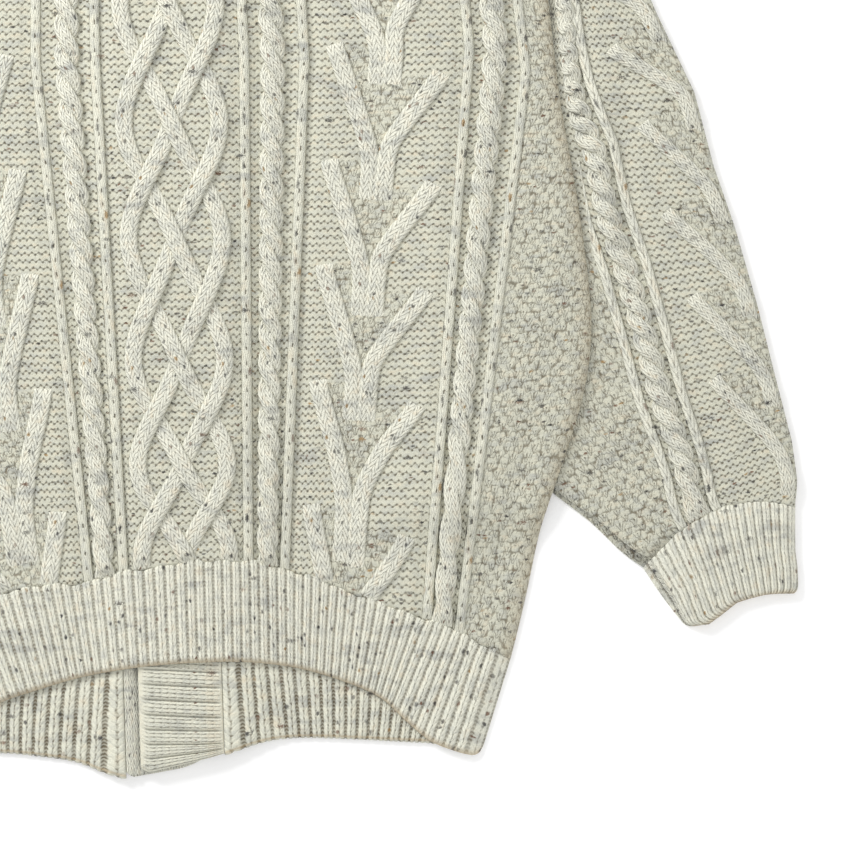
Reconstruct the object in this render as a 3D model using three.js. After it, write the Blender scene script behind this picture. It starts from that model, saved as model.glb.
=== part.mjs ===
// Cable knit cardigan of thick tweed wool, buttoned and laid flat with its back up.
// Millimetres. +X runs across the garment, +Y towards the neck, +Z up from the surface it lies on.
// Plan sizes are measured from the middle of the back hem's lower edge. The group at the end then
// moves them so that the origin lies under the middle of the whole garment.
//
// Every piece is a wall of knitting: one grid of points for its outer face, on which cables and ribs
// are raised, one coarser and plain grid for its other face, and a rim that joins their outlines.

import * as THREE from 'three';

// ---- cloth ---------------------------------------------------------------------------------------

const CLOTH = 3.0;            // plain wall of the body and sleeves
const BAND_CLOTH = 2.6;       // front bands, knitted tighter
const SEAM = 0.3;             // between pieces that are sewn edge to edge
const HEM_SEAM = 0.6;         // along the curved seam of the hem, whose two edges have other knots
const LAYER = 0.7;            // between layers that lie on each other
const SLEEVE_HOLLOW = 0.4;    // between the two layers of a flattened sleeve or cuff

const BRAID_RISE = 2.8;       // how far each pattern stands out of the plain ground
const ROPE_RISE = 2.6;
const ARM_RISE = 2.4;
const LADDER_RISE = 1.2;
const RIB_RISE = 1.6;
const BAND_RIB_RISE = 1.5;

const BUTTON_RADIUS = 11;
const BUTTON_THICK = 2.4;
const BUTTON_COUNT = 6;
const BUTTON_FIRST_Y = -38;
const BUTTON_SPACING = 134;

// ---- outline of the body -------------------------------------------------------------------------

// Side edge from the hem corner to the underarm, then the armhole up to the shoulder point.
const SIDE_EDGE = [
  { y: -75, x: 206.5 },
  { y: -42, x: 218.4 },
  { y: -6, x: 230.4 },
  { y: 37, x: 242.5 },
  { y: 87, x: 255 },
  { y: 115, x: 265 },
  { y: 144, x: 276 },
  { y: 180, x: 288 },
  { y: 215, x: 295 },
  { y: 251, x: 296 },
  { y: 324, x: 289 },
  { y: 396, x: 279 },
  { y: 487, x: 271 },
  { y: 700, x: 250 },
];
const UNDERARM_Y = 487;
const SHOULDER_Y = 700;
const SHOULDER_X = 250;
const NECK_HALF = 85;
const NECK_Y = 742;           // the shoulder line where it meets the neck
const BACK_NECK_DROP = 20;
const FRONT_NECK_DROP = 92;
const NECKBAND_HALF_TOP = 70; // the neckband's upper edge where it folds at the side of the neck
const NECKBAND_TOP_Y = 770;
const NECKBAND_BACK_DROP = 14;
const NECKBAND_FRONT_DROP = 90;
const BAND_TOP_Y = 680;       // the front bands end at the neckband's upper edge

// Ribbed hem of the back: its seam with the back above and its free edge below, by the share of the
// way from the middle to the side. The two sides of the garment lie a little differently.
const HEM_RIGHT = [
  { share: 0, topX: 0, topY: 71, lowX: 0, lowY: 0 },
  { share: 0.16, topX: 37, topY: 70.5, lowX: 36, lowY: -0.4 },
  { share: 0.34, topX: 78, topY: 61, lowX: 77, lowY: -6.5 },
  { share: 0.5, topX: 113, topY: 47, lowX: 112, lowY: -18 },
  { share: 0.63, topX: 145, topY: 34, lowX: 137, lowY: -30.5 },
  { share: 0.75, topX: 174, topY: 23, lowX: 156, lowY: -49 },
  { share: 0.84, topX: 194, topY: 13.5, lowX: 171, lowY: -62 },
  { share: 0.92, topX: 212, topY: 4, lowX: 189, lowY: -70 },
  { share: 1, topX: 230.4, topY: -6, lowX: 206.5, lowY: -75 },
];
const HEM_LEFT = [
  { share: 0, topX: 0, topY: 71, lowX: 0, lowY: 0 },
  { share: 0.16, topX: 37, topY: 66, lowX: 36, lowY: -2 },
  { share: 0.34, topX: 78, topY: 58, lowX: 77, lowY: -8 },
  { share: 0.5, topX: 113, topY: 56, lowX: 112, lowY: -17 },
  { share: 0.63, topX: 145, topY: 50, lowX: 140, lowY: -26 },
  { share: 0.75, topX: 174, topY: 37, lowX: 163, lowY: -42 },
  { share: 0.84, topX: 194, topY: 24, lowX: 177, lowY: -57 },
  { share: 0.92, topX: 212, topY: 9, lowX: 191, lowY: -67 },
  { share: 1, topX: 230.4, topY: -6, lowX: 206.5, lowY: -75 },
];
const HEM_LENGTH = 226.5;     // half of the back hem along its free edge
const HEM_RIB_COUNT = 34;     // ribs on each half of the back
const HEM_HEIGHTS = [0, 0.33, 0.67, 1]; // grid rows of the hem's outer face, up its height

// Free edge of each front's ribbed hem, which hangs below the back's at the middle.
const FRONT_HEM_RIGHT = [
  { x: 23, lowY: -67 },
  { x: 52, lowY: -58.5 },
  { x: 77, lowY: -56.5 },
  { x: 113, lowY: -58.5 },
  { x: 149, lowY: -61.5 },
  { x: 171, lowY: -63.5 },
  { x: 189, lowY: -67.5 },
  { x: 206, lowY: -72 },
];
const FRONT_HEM_LEFT = [
  { x: 48, lowY: -82 },
  { x: 64, lowY: -77 },
  { x: 82, lowY: -69.5 },
  { x: 103, lowY: -65 },
  { x: 139, lowY: -60.5 },
  { x: 171, lowY: -61.5 },
  { x: 189, lowY: -66 },
  { x: 206, lowY: -72 },
];
const FRONT_HEM_TOP_Y = 8;
const FRONT_RIB_PITCH = 8.4;
const HEM_COVER = 12;         // the front hem's ribs end this far below the back's edge
const HEM_FLAT = 5;           // and it lies flat from here
const HEM_SIDE_Y = -70;       // height of a front hem's side corner
const HEM_STRIP = 4;          // ribbed height where the back's edge nearly covers it
const HEM_UNDER_SHARES = [0.55, 0.78, 1]; // columns of its plain under face beyond the bands' ramp

// Front bands, one over the other: the wearer's right front carries the button band, which lies
// nearer to the body, and the left front the buttonhole band, which lies on the surface side.
const BUTTON_BAND = { left: -37, right: 23, leftLowY: -79, rightLowY: -67 };
const BUTTONHOLE_BAND = { left: -48, right: 12, leftLowY: -82, rightLowY: -73 };
const BAND_RIB_PITCH = 10.9;
const BAND_EDGE = 2;          // its first rib starts this far below the others' even spacing

// ---- how the layers lie --------------------------------------------------------------------------

const SLEEVE_STACK = 2 * CLOTH + SLEEVE_HOLLOW;
const SLEEVE_LIFT = SLEEVE_STACK + LAYER;           // of the body, where a sleeve is tucked under it
const BUTTONHOLE_BAND_Z = BUTTON_THICK + SEAM;
const BUTTON_BAND_Z = BUTTONHOLE_BAND_Z + BAND_CLOTH + SEAM;
const BAND_LIFT = BUTTON_BAND_Z + BAND_CLOTH - CLOTH; // of the body, over the two bands
const BACK_UNDER = CLOTH + LAYER;                   // the back's inner face over the fronts' surface
const BACK_FACE = BACK_UNDER + CLOTH;

// Shares of those lifts by the distance in from the side edge, by x, and by y.
const SLEEVE_RAMP = [
  { inset: 90, share: 1 },
  { inset: 140, share: 0 },
];
const RAMP_INSETS = [140, 115, 90]; // grid columns that both layers have on that ramp
const PLAIN_INSETS = [68, 45, 25];  // and those of the back's inner face from there to the roll
const SLEEVE_FADE = [
  { y: 70, share: 0 },
  { y: 110, share: 1 },
  { y: UNDERARM_Y, share: 1 },
  { y: 545, share: 0 },
];
const BAND_RAMP = [
  { x: -86, share: 0 },
  { x: BUTTON_BAND.left, share: 1 },
  { x: BUTTON_BAND.right, share: 1 },
  { x: 78, share: 0 },
];
const MIDDLE_XS = [-86, -62, -37, -12, 5, 23, 50, 78]; // grid columns across that ramp

// Grid rows that the fronts and the back's inner face share, so that the layers lie evenly apart:
// one that bends along with the hem, then straight ones.
const LOW_ROW = [
  { out: 60, y: 90 },
  { out: 150, y: 70 },
];
const LEVEL_ROWS = [110, 180, 251, 324, 396, UNDERARM_Y, 545, 620];
const BAND_FADE = [
  { y: BAND_TOP_Y, share: 1 },
  { y: 730, share: 0 },
];

// The back's wall rolls round the side edge and hides the front's, by distance in from the edge.
const ROLL_OUTSIDE = [
  { inset: 13, drop: 0 },
  { inset: 7, drop: 0.5 },
  { inset: 2.6, drop: 2.2 },
  { inset: 0.6, drop: 4.2 },
  { inset: 0, drop: 5.4 },
  { inset: 0.5, drop: 6.3 },
];
const ROLL_INSIDE = [
  { inset: 9, drop: 0 },
  { inset: 4.7, drop: 0.2 },
  { inset: 4.2, drop: 3.3 },
];
const FRONT_INSET = 6.5;      // the fronts end this far in from the rolled edge
const ROLL_CLEAR = 2;         // the pattern's columns keep this far in from the roll
const CROWDED = 0.6;          // and this far apart where the armhole crowds them

// ---- the knitted pattern -------------------------------------------------------------------------

// Where each column of the back's pattern runs, as its distance from the middle at two heights. The
// columns draw together towards the hem.
const PATTERN_HIGH_Y = 433;
const PATTERN_LOW_Y = 100;
const PATTERN_END_SHARE = -0.35; // they stop drawing together this far below, in shares of that run
const PATTERN_LINES = [
  { high: 0, low: 0 },
  { high: 42, low: 38.5 },
  { high: 53.5, low: 45.6 },
  { high: 74, low: 60 },
  { high: 96.5, low: 73 },
  { high: 155.5, low: 119 },
  { high: 215, low: 179.5 },
  { high: 234, low: 192 },
  { high: 262, low: 210 },
];
const BRAID_HALF = 42;
const STEM_AT = 155.5;
const ROPES_AT = [74, 234];
const LADDERS_AT = [53.5, 96.5, 215, 257.5];
const ROPE_HALF = 9.5;
const ROPE_SHOULDER = 4;      // each of a rope's two strands is highest this far from its middle
const LADDER_HALF = 3;
const ROPE_TURN = 41;         // length of a rope that holds one crossing
const BRAID_COLUMN = 7;       // spacing of the grid across the braid and across the branch panel
const BRANCH_COLUMNS = 12;
const SIDE_COLUMNS = 3;

// Heights at which the braid's two middle strands cross.
const BRAID_CROSSINGS = [
  { y: -10, turn: 6 },
  { y: 77, turn: 5 },
  { y: 142, turn: 4 },
  { y: 217, turn: 3 },
  { y: 304, turn: 2 },
  { y: 387, turn: 1 },
  { y: 473, turn: 0 },
  { y: 557, turn: -1 },
  { y: 641, turn: -2 },
  { y: 725, turn: -3 },
  { y: 809, turn: -4 },
];
const BRAID_SLOTS = [35, 35, 7, -7, -35, -35, -7, 7]; // where a strand lies from one crossing to the next
const BRAID_STRANDS = 4;
const STRAND_HALF = 7.5;

// Branch panel: pairs of arms that curve down into a stem, inner and outer arm by their top ends.
const BRANCHES = [
  { inner: 690, outer: 666 },
  { inner: 607, outer: 583 },
  { inner: 524, outer: 500 },
  { inner: 441, outer: 417 },
  { inner: 358, outer: 338 },
  { inner: 283, outer: 262 },
  { inner: 200, outer: 180 },
  { inner: 117, outer: 108 },
];
const BRANCH_LENGTH = 94;     // from the inner arm's top to the foot of the stem
const ARM_REACH = 42;         // an arm's top end, from the stem
const ARM_HALF = 7;
const STEM_OFFSET = 6;        // each arm's middle from the stem's middle
const ARM_BEND = 0.72;        // share of the branch over which an arm comes in to the stem
const ARM_CURVE = 1.4;

// Grid rows of the back: blended with the hem's curve, straight, then blended with the shoulders.
const HEM_BLEND_Y = 150;
const HEM_BLEND_ROWS = 5;
const STRAIGHT_TOP_Y = 545;
const STRAIGHT_ROWS = 23;
const TOP_BLEND_ROWS = 9;

// ---- sleeve --------------------------------------------------------------------------------------

// Sections of the flattened sleeve from the armhole to the cuff: its outer fold, its underarm seam,
// and how far the middle of the section bows towards the shoulder.
const SLEEVE_SECTIONS = [
  { at: 0, outX: 250.6, outY: 700.3, inX: 271.8, inY: 487, bow: 0 },
  { at: 1, outX: 292, outY: 605, inX: 268, inY: 440, bow: 0 },
  { at: 2, outX: 325, outY: 520, inX: 258, inY: 395, bow: 0 },
  { at: 3, outX: 351, outY: 455, inX: 240, inY: 352, bow: 0 },
  { at: 4, outX: 376, outY: 398, inX: 222, inY: 310, bow: 0 },
  { at: 5, outX: 388, outY: 345, inX: 213, inY: 272, bow: 0 },
  { at: 6, outX: 402, outY: 300, inX: 214, inY: 235, bow: 0 },
  { at: 7, outX: 416, outY: 245, inX: 224, inY: 200, bow: 0 },
  { at: 8, outX: 428, outY: 190, inX: 240, inY: 163, bow: 2 },
  { at: 9, outX: 438, outY: 145, inX: 256, inY: 132, bow: 4 },
  { at: 10, outX: 441, outY: 117, inX: 267, inY: 114, bow: 7 },
  { at: 11, outX: 440, outY: 107, inX: 297, inY: 92, bow: 12 },
  { at: 12, outX: 439, outY: 101, inX: 319, inY: 71, bow: 16 },
  { at: 13, outX: 438.9, outY: 97, inX: 333.5, inY: 63, bow: 18 },
];
const SLEEVE_ROWS_EACH = 2.0; // grid rows to each section
const SLEEVE_INSIDE_ROWS = 13;
const SLEEVE_LADDERS = [69, 100];
const SLEEVE_ROPE = 84.5;
const SLEEVE_STEM = 2;        // the branch panel's stem lies on the outer fold
const SLEEVE_BRANCH_FEET = [145, 215, 285, 355, 425, 497, 565, 632]; // along the outer fold
const SLEEVE_BRANCH_LENGTH = 98;
const SLEEVE_PATTERN_END = 106;
const SLEEVE_GATHER = 0.85;   // how much narrower the pattern is where it runs into the cuff
const GATHER_FROM = 8;        // section from which it narrows
const RELIEF_CLEAR = 6;       // a sleeve's face is pressed plain up to this far from the body's edge
const RELIEF_FULL = 20;
const FOLD_DEPTH = 6;         // the rolled outer fold, in from its edge

const CUFF = [
  { at: 0, outX: 438.9, outY: 96.4, inX: 333.7, inY: 62.4, bow: 18 },
  { at: 1, outX: 439.6, outY: 66, inX: 345, inY: 35, bow: 11 },
  { at: 2, outX: 439.2, outY: 36.4, inX: 360.6, inY: 13, bow: 4 },
];
const CUFF_RIBS = 14;
const CUFF_ROWS = 4;

const NECKBAND_RIBS = 26;
const NECKBAND_TURN = 0.95;   // share of the half neck at which the band turns under
const NECK_KNOT_APART = 1;    // least spacing of the band's columns beside the front bands

const WOOL = { color: 0xd9d5c0, roughness: 0.95, metalness: 0 };
const HORN = { color: 0x5d4a36, roughness: 0.45, metalness: 0 };

const SETTLE_PASSES = 9;      // turns of solving for a point whose x and y depend on each other

// ---- reading tables and measuring ----------------------------------------------------------------

const mix = (a, b, share) => a + (b - a) * share;
const clamp = (value, low, high) => Math.min(Math.max(value, low), high);
const ease = (share) => share * share * (3 - 2 * share);
const steps = (count) => Array.from({ length: count + 1 }, (_, i) => i / count);

/** A table's column at a value of its key column, straight between its rows. */
function read(table, key, at, column) {
  const next = table.findIndex((row) => row[key] >= at);
  if (next === 0) return table[0][column];
  if (next < 0) return table[table.length - 1][column];
  const a = table[next - 1];
  const b = table[next];
  return mix(a[column], b[column], (at - a[key]) / (b[key] - a[key]));
}

/** The same on one smooth curve through the rows, for an outline. */
function curve(table, key, at, column) {
  const next = table.findIndex((row) => row[key] >= at);
  if (next === 0) return table[0][column];
  if (next < 0) return table[table.length - 1][column];
  const slope = (i) => {
    const a = table[Math.max(i - 1, 0)];
    const b = table[Math.min(i + 1, table.length - 1)];
    return (b[column] - a[column]) / (b[key] - a[key]);
  };
  const [a, b] = [table[next - 1], table[next]];
  const run = b[key] - a[key];
  const t = (at - a[key]) / run;
  const rise = b[column] - a[column];
  const [start, end] = [slope(next - 1) * run - rise, rise - slope(next) * run];
  return mix(a[column], b[column], t) + t * (1 - t) * (start * (1 - t) + end * t);
}

const edgeX = (y) => curve(SIDE_EDGE, 'y', y, 'x');
const hemOf = (side) => (side > 0 ? HEM_RIGHT : HEM_LEFT);
const frontHemOf = (side) => (side > 0 ? FRONT_HEM_RIGHT : FRONT_HEM_LEFT);
const hemTopY = (x) => curve(hemOf(x), 'topX', Math.abs(x), 'topY');
const hemLowY = (x) => curve(hemOf(x), 'lowX', Math.abs(x), 'lowY');
const frontHemLowY = (x) => curve(frontHemOf(x), 'x', Math.abs(x), 'lowY');

/** How far the body lies above the surface, over the bands and over the tucked sleeves. */
function lift(x, y) {
  const overSleeve = read(SLEEVE_RAMP, 'inset', edgeX(y) - Math.abs(x), 'share');
  const overBands = read(BAND_RAMP, 'x', x, 'share');
  return SLEEVE_LIFT * overSleeve * read(SLEEVE_FADE, 'y', y, 'share')
    + BAND_LIFT * overBands * read(BAND_FADE, 'y', y, 'share');
}

const shoulderY = (x) => mix(NECK_Y, SHOULDER_Y, (Math.abs(x) - NECK_HALF) / (SHOULDER_X - NECK_HALF));

/** Upper edge of the back: a shallow dip at the neck, then the shoulder line. */
function backTopY(x) {
  const share = Math.abs(x) / NECK_HALF;
  return share < 1 ? NECK_Y - BACK_NECK_DROP * Math.cos((share * Math.PI) / 2) : shoulderY(x);
}

/** Upper edge of a front: the deep neck curve, then the shoulder line. */
function frontTopY(x) {
  const share = Math.abs(x) / NECK_HALF;
  return share < 1 ? NECK_Y - FRONT_NECK_DROP * Math.sqrt(1 - share ** 2) : shoulderY(x);
}

// ---- walls ---------------------------------------------------------------------------------------

/** The four sides of a grid of vertex numbers, in order round it. */
function outline(grid) {
  const last = grid.length - 1;
  const end = grid[0].length - 1;
  return [
    grid[0],
    grid.map((row) => row[end]),
    [...grid[last]].reverse(),
    grid.map((row) => row[0]).reverse(),
  ];
}

/** Share of a side's length, as seen from above, at each of its points. */
function sharesAlong(side, points) {
  const shares = [0];
  for (let i = 1; i < side.length; i++) {
    const [a, b] = [points[side[i - 1]], points[side[i]]];
    shares.push(shares[i - 1] + Math.hypot(b[0] - a[0], b[1] - a[1]));
  }
  return shares.map((length) => length / shares[shares.length - 1]);
}

/** Triangles between two sides that run together, whatever number of points each has. */
function zip(outside, inside, points, faces) {
  const outsideShare = sharesAlong(outside, points);
  const insideShare = sharesAlong(inside, points);
  let i = 0;
  let j = 0;
  while (i < outside.length - 1 || j < inside.length - 1) {
    const nextOut = i < outside.length - 1 ? outsideShare[i + 1] : Infinity;
    const nextIn = j < inside.length - 1 ? insideShare[j + 1] : Infinity;
    if (nextOut <= nextIn) {
      faces.push([outside[i + 1], outside[i], inside[j]]);
      i += 1;
    } else {
      faces.push([inside[j], inside[j + 1], outside[i]]);
      j += 1;
    }
  }
}

function signedVolume(points, faces) {
  let volume = 0;
  for (const [a, b, c] of faces) {
    const [p, q, r] = [points[a], points[b], points[c]];
    volume += p[0] * (q[1] * r[2] - q[2] * r[1])
      - p[1] * (q[0] * r[2] - q[2] * r[0])
      + p[2] * (q[0] * r[1] - q[1] * r[0]);
  }
  return volume / 6;
}

/** One closed wall between an outer and an inner grid of points, each a list of rows. */
function wall(outer, inner) {
  const points = [];
  const faces = [];
  const number = (grid) => grid.map((row) => row.map((point) => points.push(point) - 1));
  const outerGrid = number(outer);
  const innerGrid = number(inner);
  const cover = (grid, flipped) => {
    for (let r = 0; r + 1 < grid.length; r++) {
      for (let c = 0; c + 1 < grid[r].length; c++) {
        const [a, b, d, e] = [grid[r][c], grid[r][c + 1], grid[r + 1][c + 1], grid[r + 1][c]];
        if (flipped) faces.push([a, d, b], [a, e, d]);
        else faces.push([a, b, d], [a, d, e]);
      }
    }
  };
  cover(outerGrid, false);
  cover(innerGrid, true);
  const innerSides = outline(innerGrid);
  outline(outerGrid).forEach((side, k) => zip(side, innerSides[k], points, faces));
  if (signedVolume(points, faces) < 0) faces.forEach((face) => face.reverse());
  const geometry = new THREE.BufferGeometry();
  geometry.setAttribute('position', new THREE.Float32BufferAttribute(points.flat(), 3));
  geometry.setIndex(faces.flat());
  geometry.computeVertexNormals();
  return geometry;
}

function piece(name, geometry, finish) {
  const mesh = new THREE.Mesh(geometry, new THREE.MeshStandardMaterial(finish));
  mesh.name = name;
  return mesh;
}

// ---- raised patterns -----------------------------------------------------------------------------

/** Rounded height of a strand at a distance from its middle line. */
const crown = (distance, half) => Math.max(0, 1 - (distance / half) ** 2);

/** Four strands plaited: the middle pair cross, then each side's pair, in turn. */
function braidRise(across, y) {
  const progress = 2 * read(BRAID_CROSSINGS, 'y', y, 'turn') + 0.5;
  const event = Math.floor(progress);
  const share = ease(progress - event);
  let rise = 0;
  for (let strand = 0; strand < BRAID_STRANDS; strand++) {
    const slot = (((event + 2 * strand) % 8) + 8) % 8;
    const middle = mix(BRAID_SLOTS[slot], BRAID_SLOTS[(slot + 1) % 8], share);
    rise = Math.max(rise, crown(across - middle, STRAND_HALF));
  }
  return BRAID_RISE * rise;
}

/** A rope's two strands, each highest where it passes over the other. */
function ropeRise(offset, along) {
  if (Math.abs(offset) >= ROPE_HALF - 0.1) return 0;
  const turn = (2 * Math.PI * along) / ROPE_TURN + (offset > 0 ? Math.PI : 0);
  return ROPE_RISE * (0.78 + 0.22 * Math.cos(turn));
}

/** One arm of a branch: how high it stands at a distance from the stem and down from its top. */
function armRise(fromStem, down, length) {
  const share = down / length;
  if (share < 0 || share > 1) return 0;
  const open = Math.max(0, 1 - share / ARM_BEND) ** ARM_CURVE;
  const middle = mix(STEM_OFFSET, ARM_REACH, open);
  return ARM_RISE * crown(fromStem - middle, ARM_HALF);
}

function branchRise(fromStem, y) {
  let rise = 0;
  for (const branch of BRANCHES) {
    const top = fromStem < 0 ? branch.inner : branch.outer;
    const length = BRANCH_LENGTH - (branch.inner - top);
    rise = Math.max(rise, armRise(Math.abs(fromStem), top - y, length));
  }
  return rise;
}

/** Height of the back's pattern, by its column as spaced at the chest and by y. */
function backRise(column, y) {
  const out = Math.abs(column);
  if (out < BRAID_HALF) return braidRise(column, y);
  const ladder = LADDERS_AT.find((at) => Math.abs(out - at) < 0.5);
  if (ladder) return LADDER_RISE;
  const rope = ROPES_AT.find((at) => Math.abs(out - at) < ROPE_HALF);
  if (rope) return ropeRise(out - rope, y);
  if (out > LADDERS_AT[1] + LADDER_HALF && out < LADDERS_AT[2] - LADDER_HALF) {
    return branchRise(out - STEM_AT, y);
  }
  return 0;
}

/** Where a pattern column runs at height y. */
function columnX(column, y) {
  const out = Math.abs(column);
  const low = read(PATTERN_LINES, 'high', out, 'low');
  const share = clamp((y - PATTERN_LOW_Y) / (PATTERN_HIGH_Y - PATTERN_LOW_Y), PATTERN_END_SHARE, 1);
  const narrowing = y > PATTERN_HIGH_Y ? edgeX(y) / edgeX(PATTERN_HIGH_Y) : 1;
  return Math.sign(column) * mix(low, out, share) * narrowing;
}

/** The columns of one half of the back, out from the middle. */
function halfColumns() {
  const columns = [];
  for (let at = BRAID_COLUMN; at < BRAID_HALF; at += BRAID_COLUMN) columns.push(at);
  columns.push(BRAID_HALF);
  const ladder = (at) => columns.push(at - LADDER_HALF, at, at + LADDER_HALF);
  const rope = (at) => columns.push(
    at - ROPE_HALF, at - ROPE_SHOULDER, at + ROPE_SHOULDER, at + ROPE_HALF,
  );
  ladder(LADDERS_AT[0]);
  rope(ROPES_AT[0]);
  ladder(LADDERS_AT[1]);
  const [from, to] = [LADDERS_AT[1] + LADDER_HALF, LADDERS_AT[2] - LADDER_HALF];
  for (const share of steps(BRANCH_COLUMNS).slice(1, -1)) columns.push(mix(from, to, share));
  ladder(LADDERS_AT[2]);
  rope(ROPES_AT[1]);
  ladder(LADDERS_AT[3]);
  return columns;
}

// ---- back ----------------------------------------------------------------------------------------

/** A point's plan place where its x depends on its y and its y on its x. */
function settle(xAt, yAt) {
  let y = 0;
  for (let pass = 0; pass < SETTLE_PASSES; pass++) y = yAt(xAt(y));
  return [xAt(y), y];
}

/** The rows of the back's outer grid, each giving y at an x. */
function backRows() {
  const rows = [];
  for (const share of steps(HEM_BLEND_ROWS).slice(0, -1)) {
    rows.push((x) => mix(hemTopY(x) + HEM_SEAM, HEM_BLEND_Y, share));
  }
  for (const share of steps(STRAIGHT_ROWS).slice(0, -1)) {
    rows.push(() => mix(HEM_BLEND_Y, STRAIGHT_TOP_Y, share));
  }
  for (const share of steps(TOP_BLEND_ROWS)) {
    rows.push((x) => mix(STRAIGHT_TOP_Y, backTopY(x), share));
  }
  return rows;
}

/** Columns between the pattern and the rolled edge, then those of the roll itself. */
function sideColumns(side, roll) {
  const lastColumn = LADDERS_AT[3] + LADDER_HALF;
  const innerX = (y) => Math.min(columnX(lastColumn, y), edgeX(y) - roll[0].inset - ROLL_CLEAR);
  const plain = steps(SIDE_COLUMNS).slice(1, -1).map((share) => ({
    x: (y) => side * mix(innerX(y), edgeX(y) - roll[0].inset, share),
    rise: () => 0,
    drop: 0,
  }));
  const rolled = roll.map((row) => ({
    x: (y) => side * (edgeX(y) - row.inset),
    rise: () => 0,
    drop: row.drop,
  }));
  return [...plain, ...rolled];
}

function backColumns() {
  const limit = (y) => edgeX(y) - ROLL_OUTSIDE[0].inset - ROLL_CLEAR;
  const patterned = (side) => halfColumns().map((column, i, all) => ({
    x: (y) => {
      const crowding = (all.length - i) * CROWDED;
      return side * Math.min(columnX(column, y), limit(y) - crowding);
    },
    rise: (y) => backRise(side * column, y),
    drop: 0,
  }));
  const half = (side) => [...patterned(side), ...sideColumns(side, ROLL_OUTSIDE)];
  const middle = { x: () => 0, rise: (y) => backRise(0, y), drop: 0 };
  return [...half(-1).reverse(), middle, ...half(1)];
}

/** Rows of a panel's plain grid, from its lower outline to its upper one. */
function panelRows(lowest, highest) {
  const lowRow = (x) => read(LOW_ROW, 'out', Math.abs(x), 'y');
  return [lowest, lowRow, ...LEVEL_ROWS.map((y) => () => y), highest];
}

const atX = (x) => ({ x: () => x, drop: 0 });
const inFrom = (side, inset, drop = 0) => ({ x: (y) => side * (edgeX(y) - inset), drop });

/** Columns of the back's inner face, which the hem's inner face repeats along their seam. */
function backInnerColumns() {
  const sideOf = (side) => [
    ...[...RAMP_INSETS, ...PLAIN_INSETS].map((inset) => inFrom(side, inset)),
    ...ROLL_INSIDE.map((row) => inFrom(side, row.inset, row.drop)),
  ];
  return [...sideOf(-1).reverse(), ...MIDDLE_XS.map(atX), ...sideOf(1)];
}

function back() {
  const outer = backRows().map((rowY) => backColumns().map((column) => {
    const [x, y] = settle(column.x, rowY);
    return [x, y, lift(x, y) + BACK_FACE + column.rise(y) - column.drop];
  }));
  const rows = panelRows((x) => hemTopY(x) + HEM_SEAM, backTopY);
  rows.splice(rows.length - 1, 0, () => BAND_TOP_Y);
  const inner = rows.map((rowY) => backInnerColumns().map((column) => {
    const [x, y] = settle(column.x, rowY);
    return [x, y, lift(x, y) + BACK_UNDER - column.drop];
  }));
  return piece('back', wall(outer, inner), WOOL);
}

/** A point of the back's ribbed hem, by share from the middle (left below 0) and up its height. */
function hemPoint(share, height) {
  const side = share < 0 ? -1 : 1;
  const table = hemOf(side);
  const at = Math.abs(share);
  const lowX = side * curve(table, 'share', at, 'lowX');
  const topX = side * curve(table, 'share', at, 'topX');
  return [mix(lowX, topX, height), mix(hemLowY(lowX), hemTopY(topX), height)];
}

function backHem() {
  const ribbedShare = 1 - ROLL_OUTSIDE[0].inset / HEM_LENGTH;
  const nodes = 2 * HEM_RIB_COUNT;
  const ribs = steps(2 * nodes).map((at, i) => ({
    share: mix(-ribbedShare, ribbedShare, at),
    rise: i % 2 ? RIB_RISE : 0,
    drop: 0,
  }));
  const roll = (side, rows) => rows.map((row) => ({
    share: side * (1 - row.inset / HEM_LENGTH),
    rise: 0,
    drop: row.drop,
  }));
  const outside = ROLL_OUTSIDE.slice(1);
  const outerColumns = [...roll(-1, outside).reverse(), ...ribs, ...roll(1, outside)];
  const outer = HEM_HEIGHTS.map((height) => outerColumns.map((column) => {
    const [x, y] = hemPoint(column.share, height);
    return [x, y, lift(x, y) + BACK_FACE + column.rise - column.drop];
  }));
  const innerColumns = backInnerColumns().map((column) => {
    const [x] = settle(column.x, hemTopY);
    return { share: Math.sign(x) * curve(hemOf(x), 'topX', Math.abs(x), 'share'), drop: column.drop };
  });
  const inner = [0, 0.5, 1].map((height) => innerColumns.map((column) => {
    const [x, y] = hemPoint(column.share, height);
    return [x, y, lift(x, y) + BACK_UNDER - column.drop];
  }));
  return piece('back_hem', wall(outer, inner), WOOL);
}

// ---- fronts --------------------------------------------------------------------------------------

const seamX = (side) => (side > 0 ? BUTTON_BAND.right + SEAM : BUTTONHOLE_BAND.left - SEAM);

/** Angles round the front neck curve from a band's seam to the shoulder, for knots on both its sides. */
function neckAngles(fromX) {
  const start = Math.acos(Math.abs(fromX) / NECK_HALF);
  const ramp = fromX > 0 ? BAND_RAMP[3].x : BAND_RAMP[0].x;
  const past = Math.acos(Math.min(Math.abs(ramp) / NECK_HALF, 1));
  const curved = steps(5).map((share) => mix(start, past, share));
  return past > 0 ? [...curved, past / 2, 0] : curved;
}

function front(side, name) {
  const rows = panelRows(() => FRONT_HEM_TOP_Y + SEAM, frontTopY);
  const columns = [
    ...neckAngles(seamX(side)).map((angle) => atX(side * NECK_HALF * Math.cos(angle))),
    ...[...RAMP_INSETS, PLAIN_INSETS[1], FRONT_INSET].map((inset) => inFrom(side, inset)),
  ];
  if (side < 0) columns.reverse();
  const face = (thickness) => rows.map((rowY) => columns.map((column) => {
    const [x, y] = settle(column.x, rowY);
    return [x, y, lift(x, y) + thickness];
  }));
  return piece(name, wall(face(CLOTH), face(0)), WOOL);
}

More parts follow.
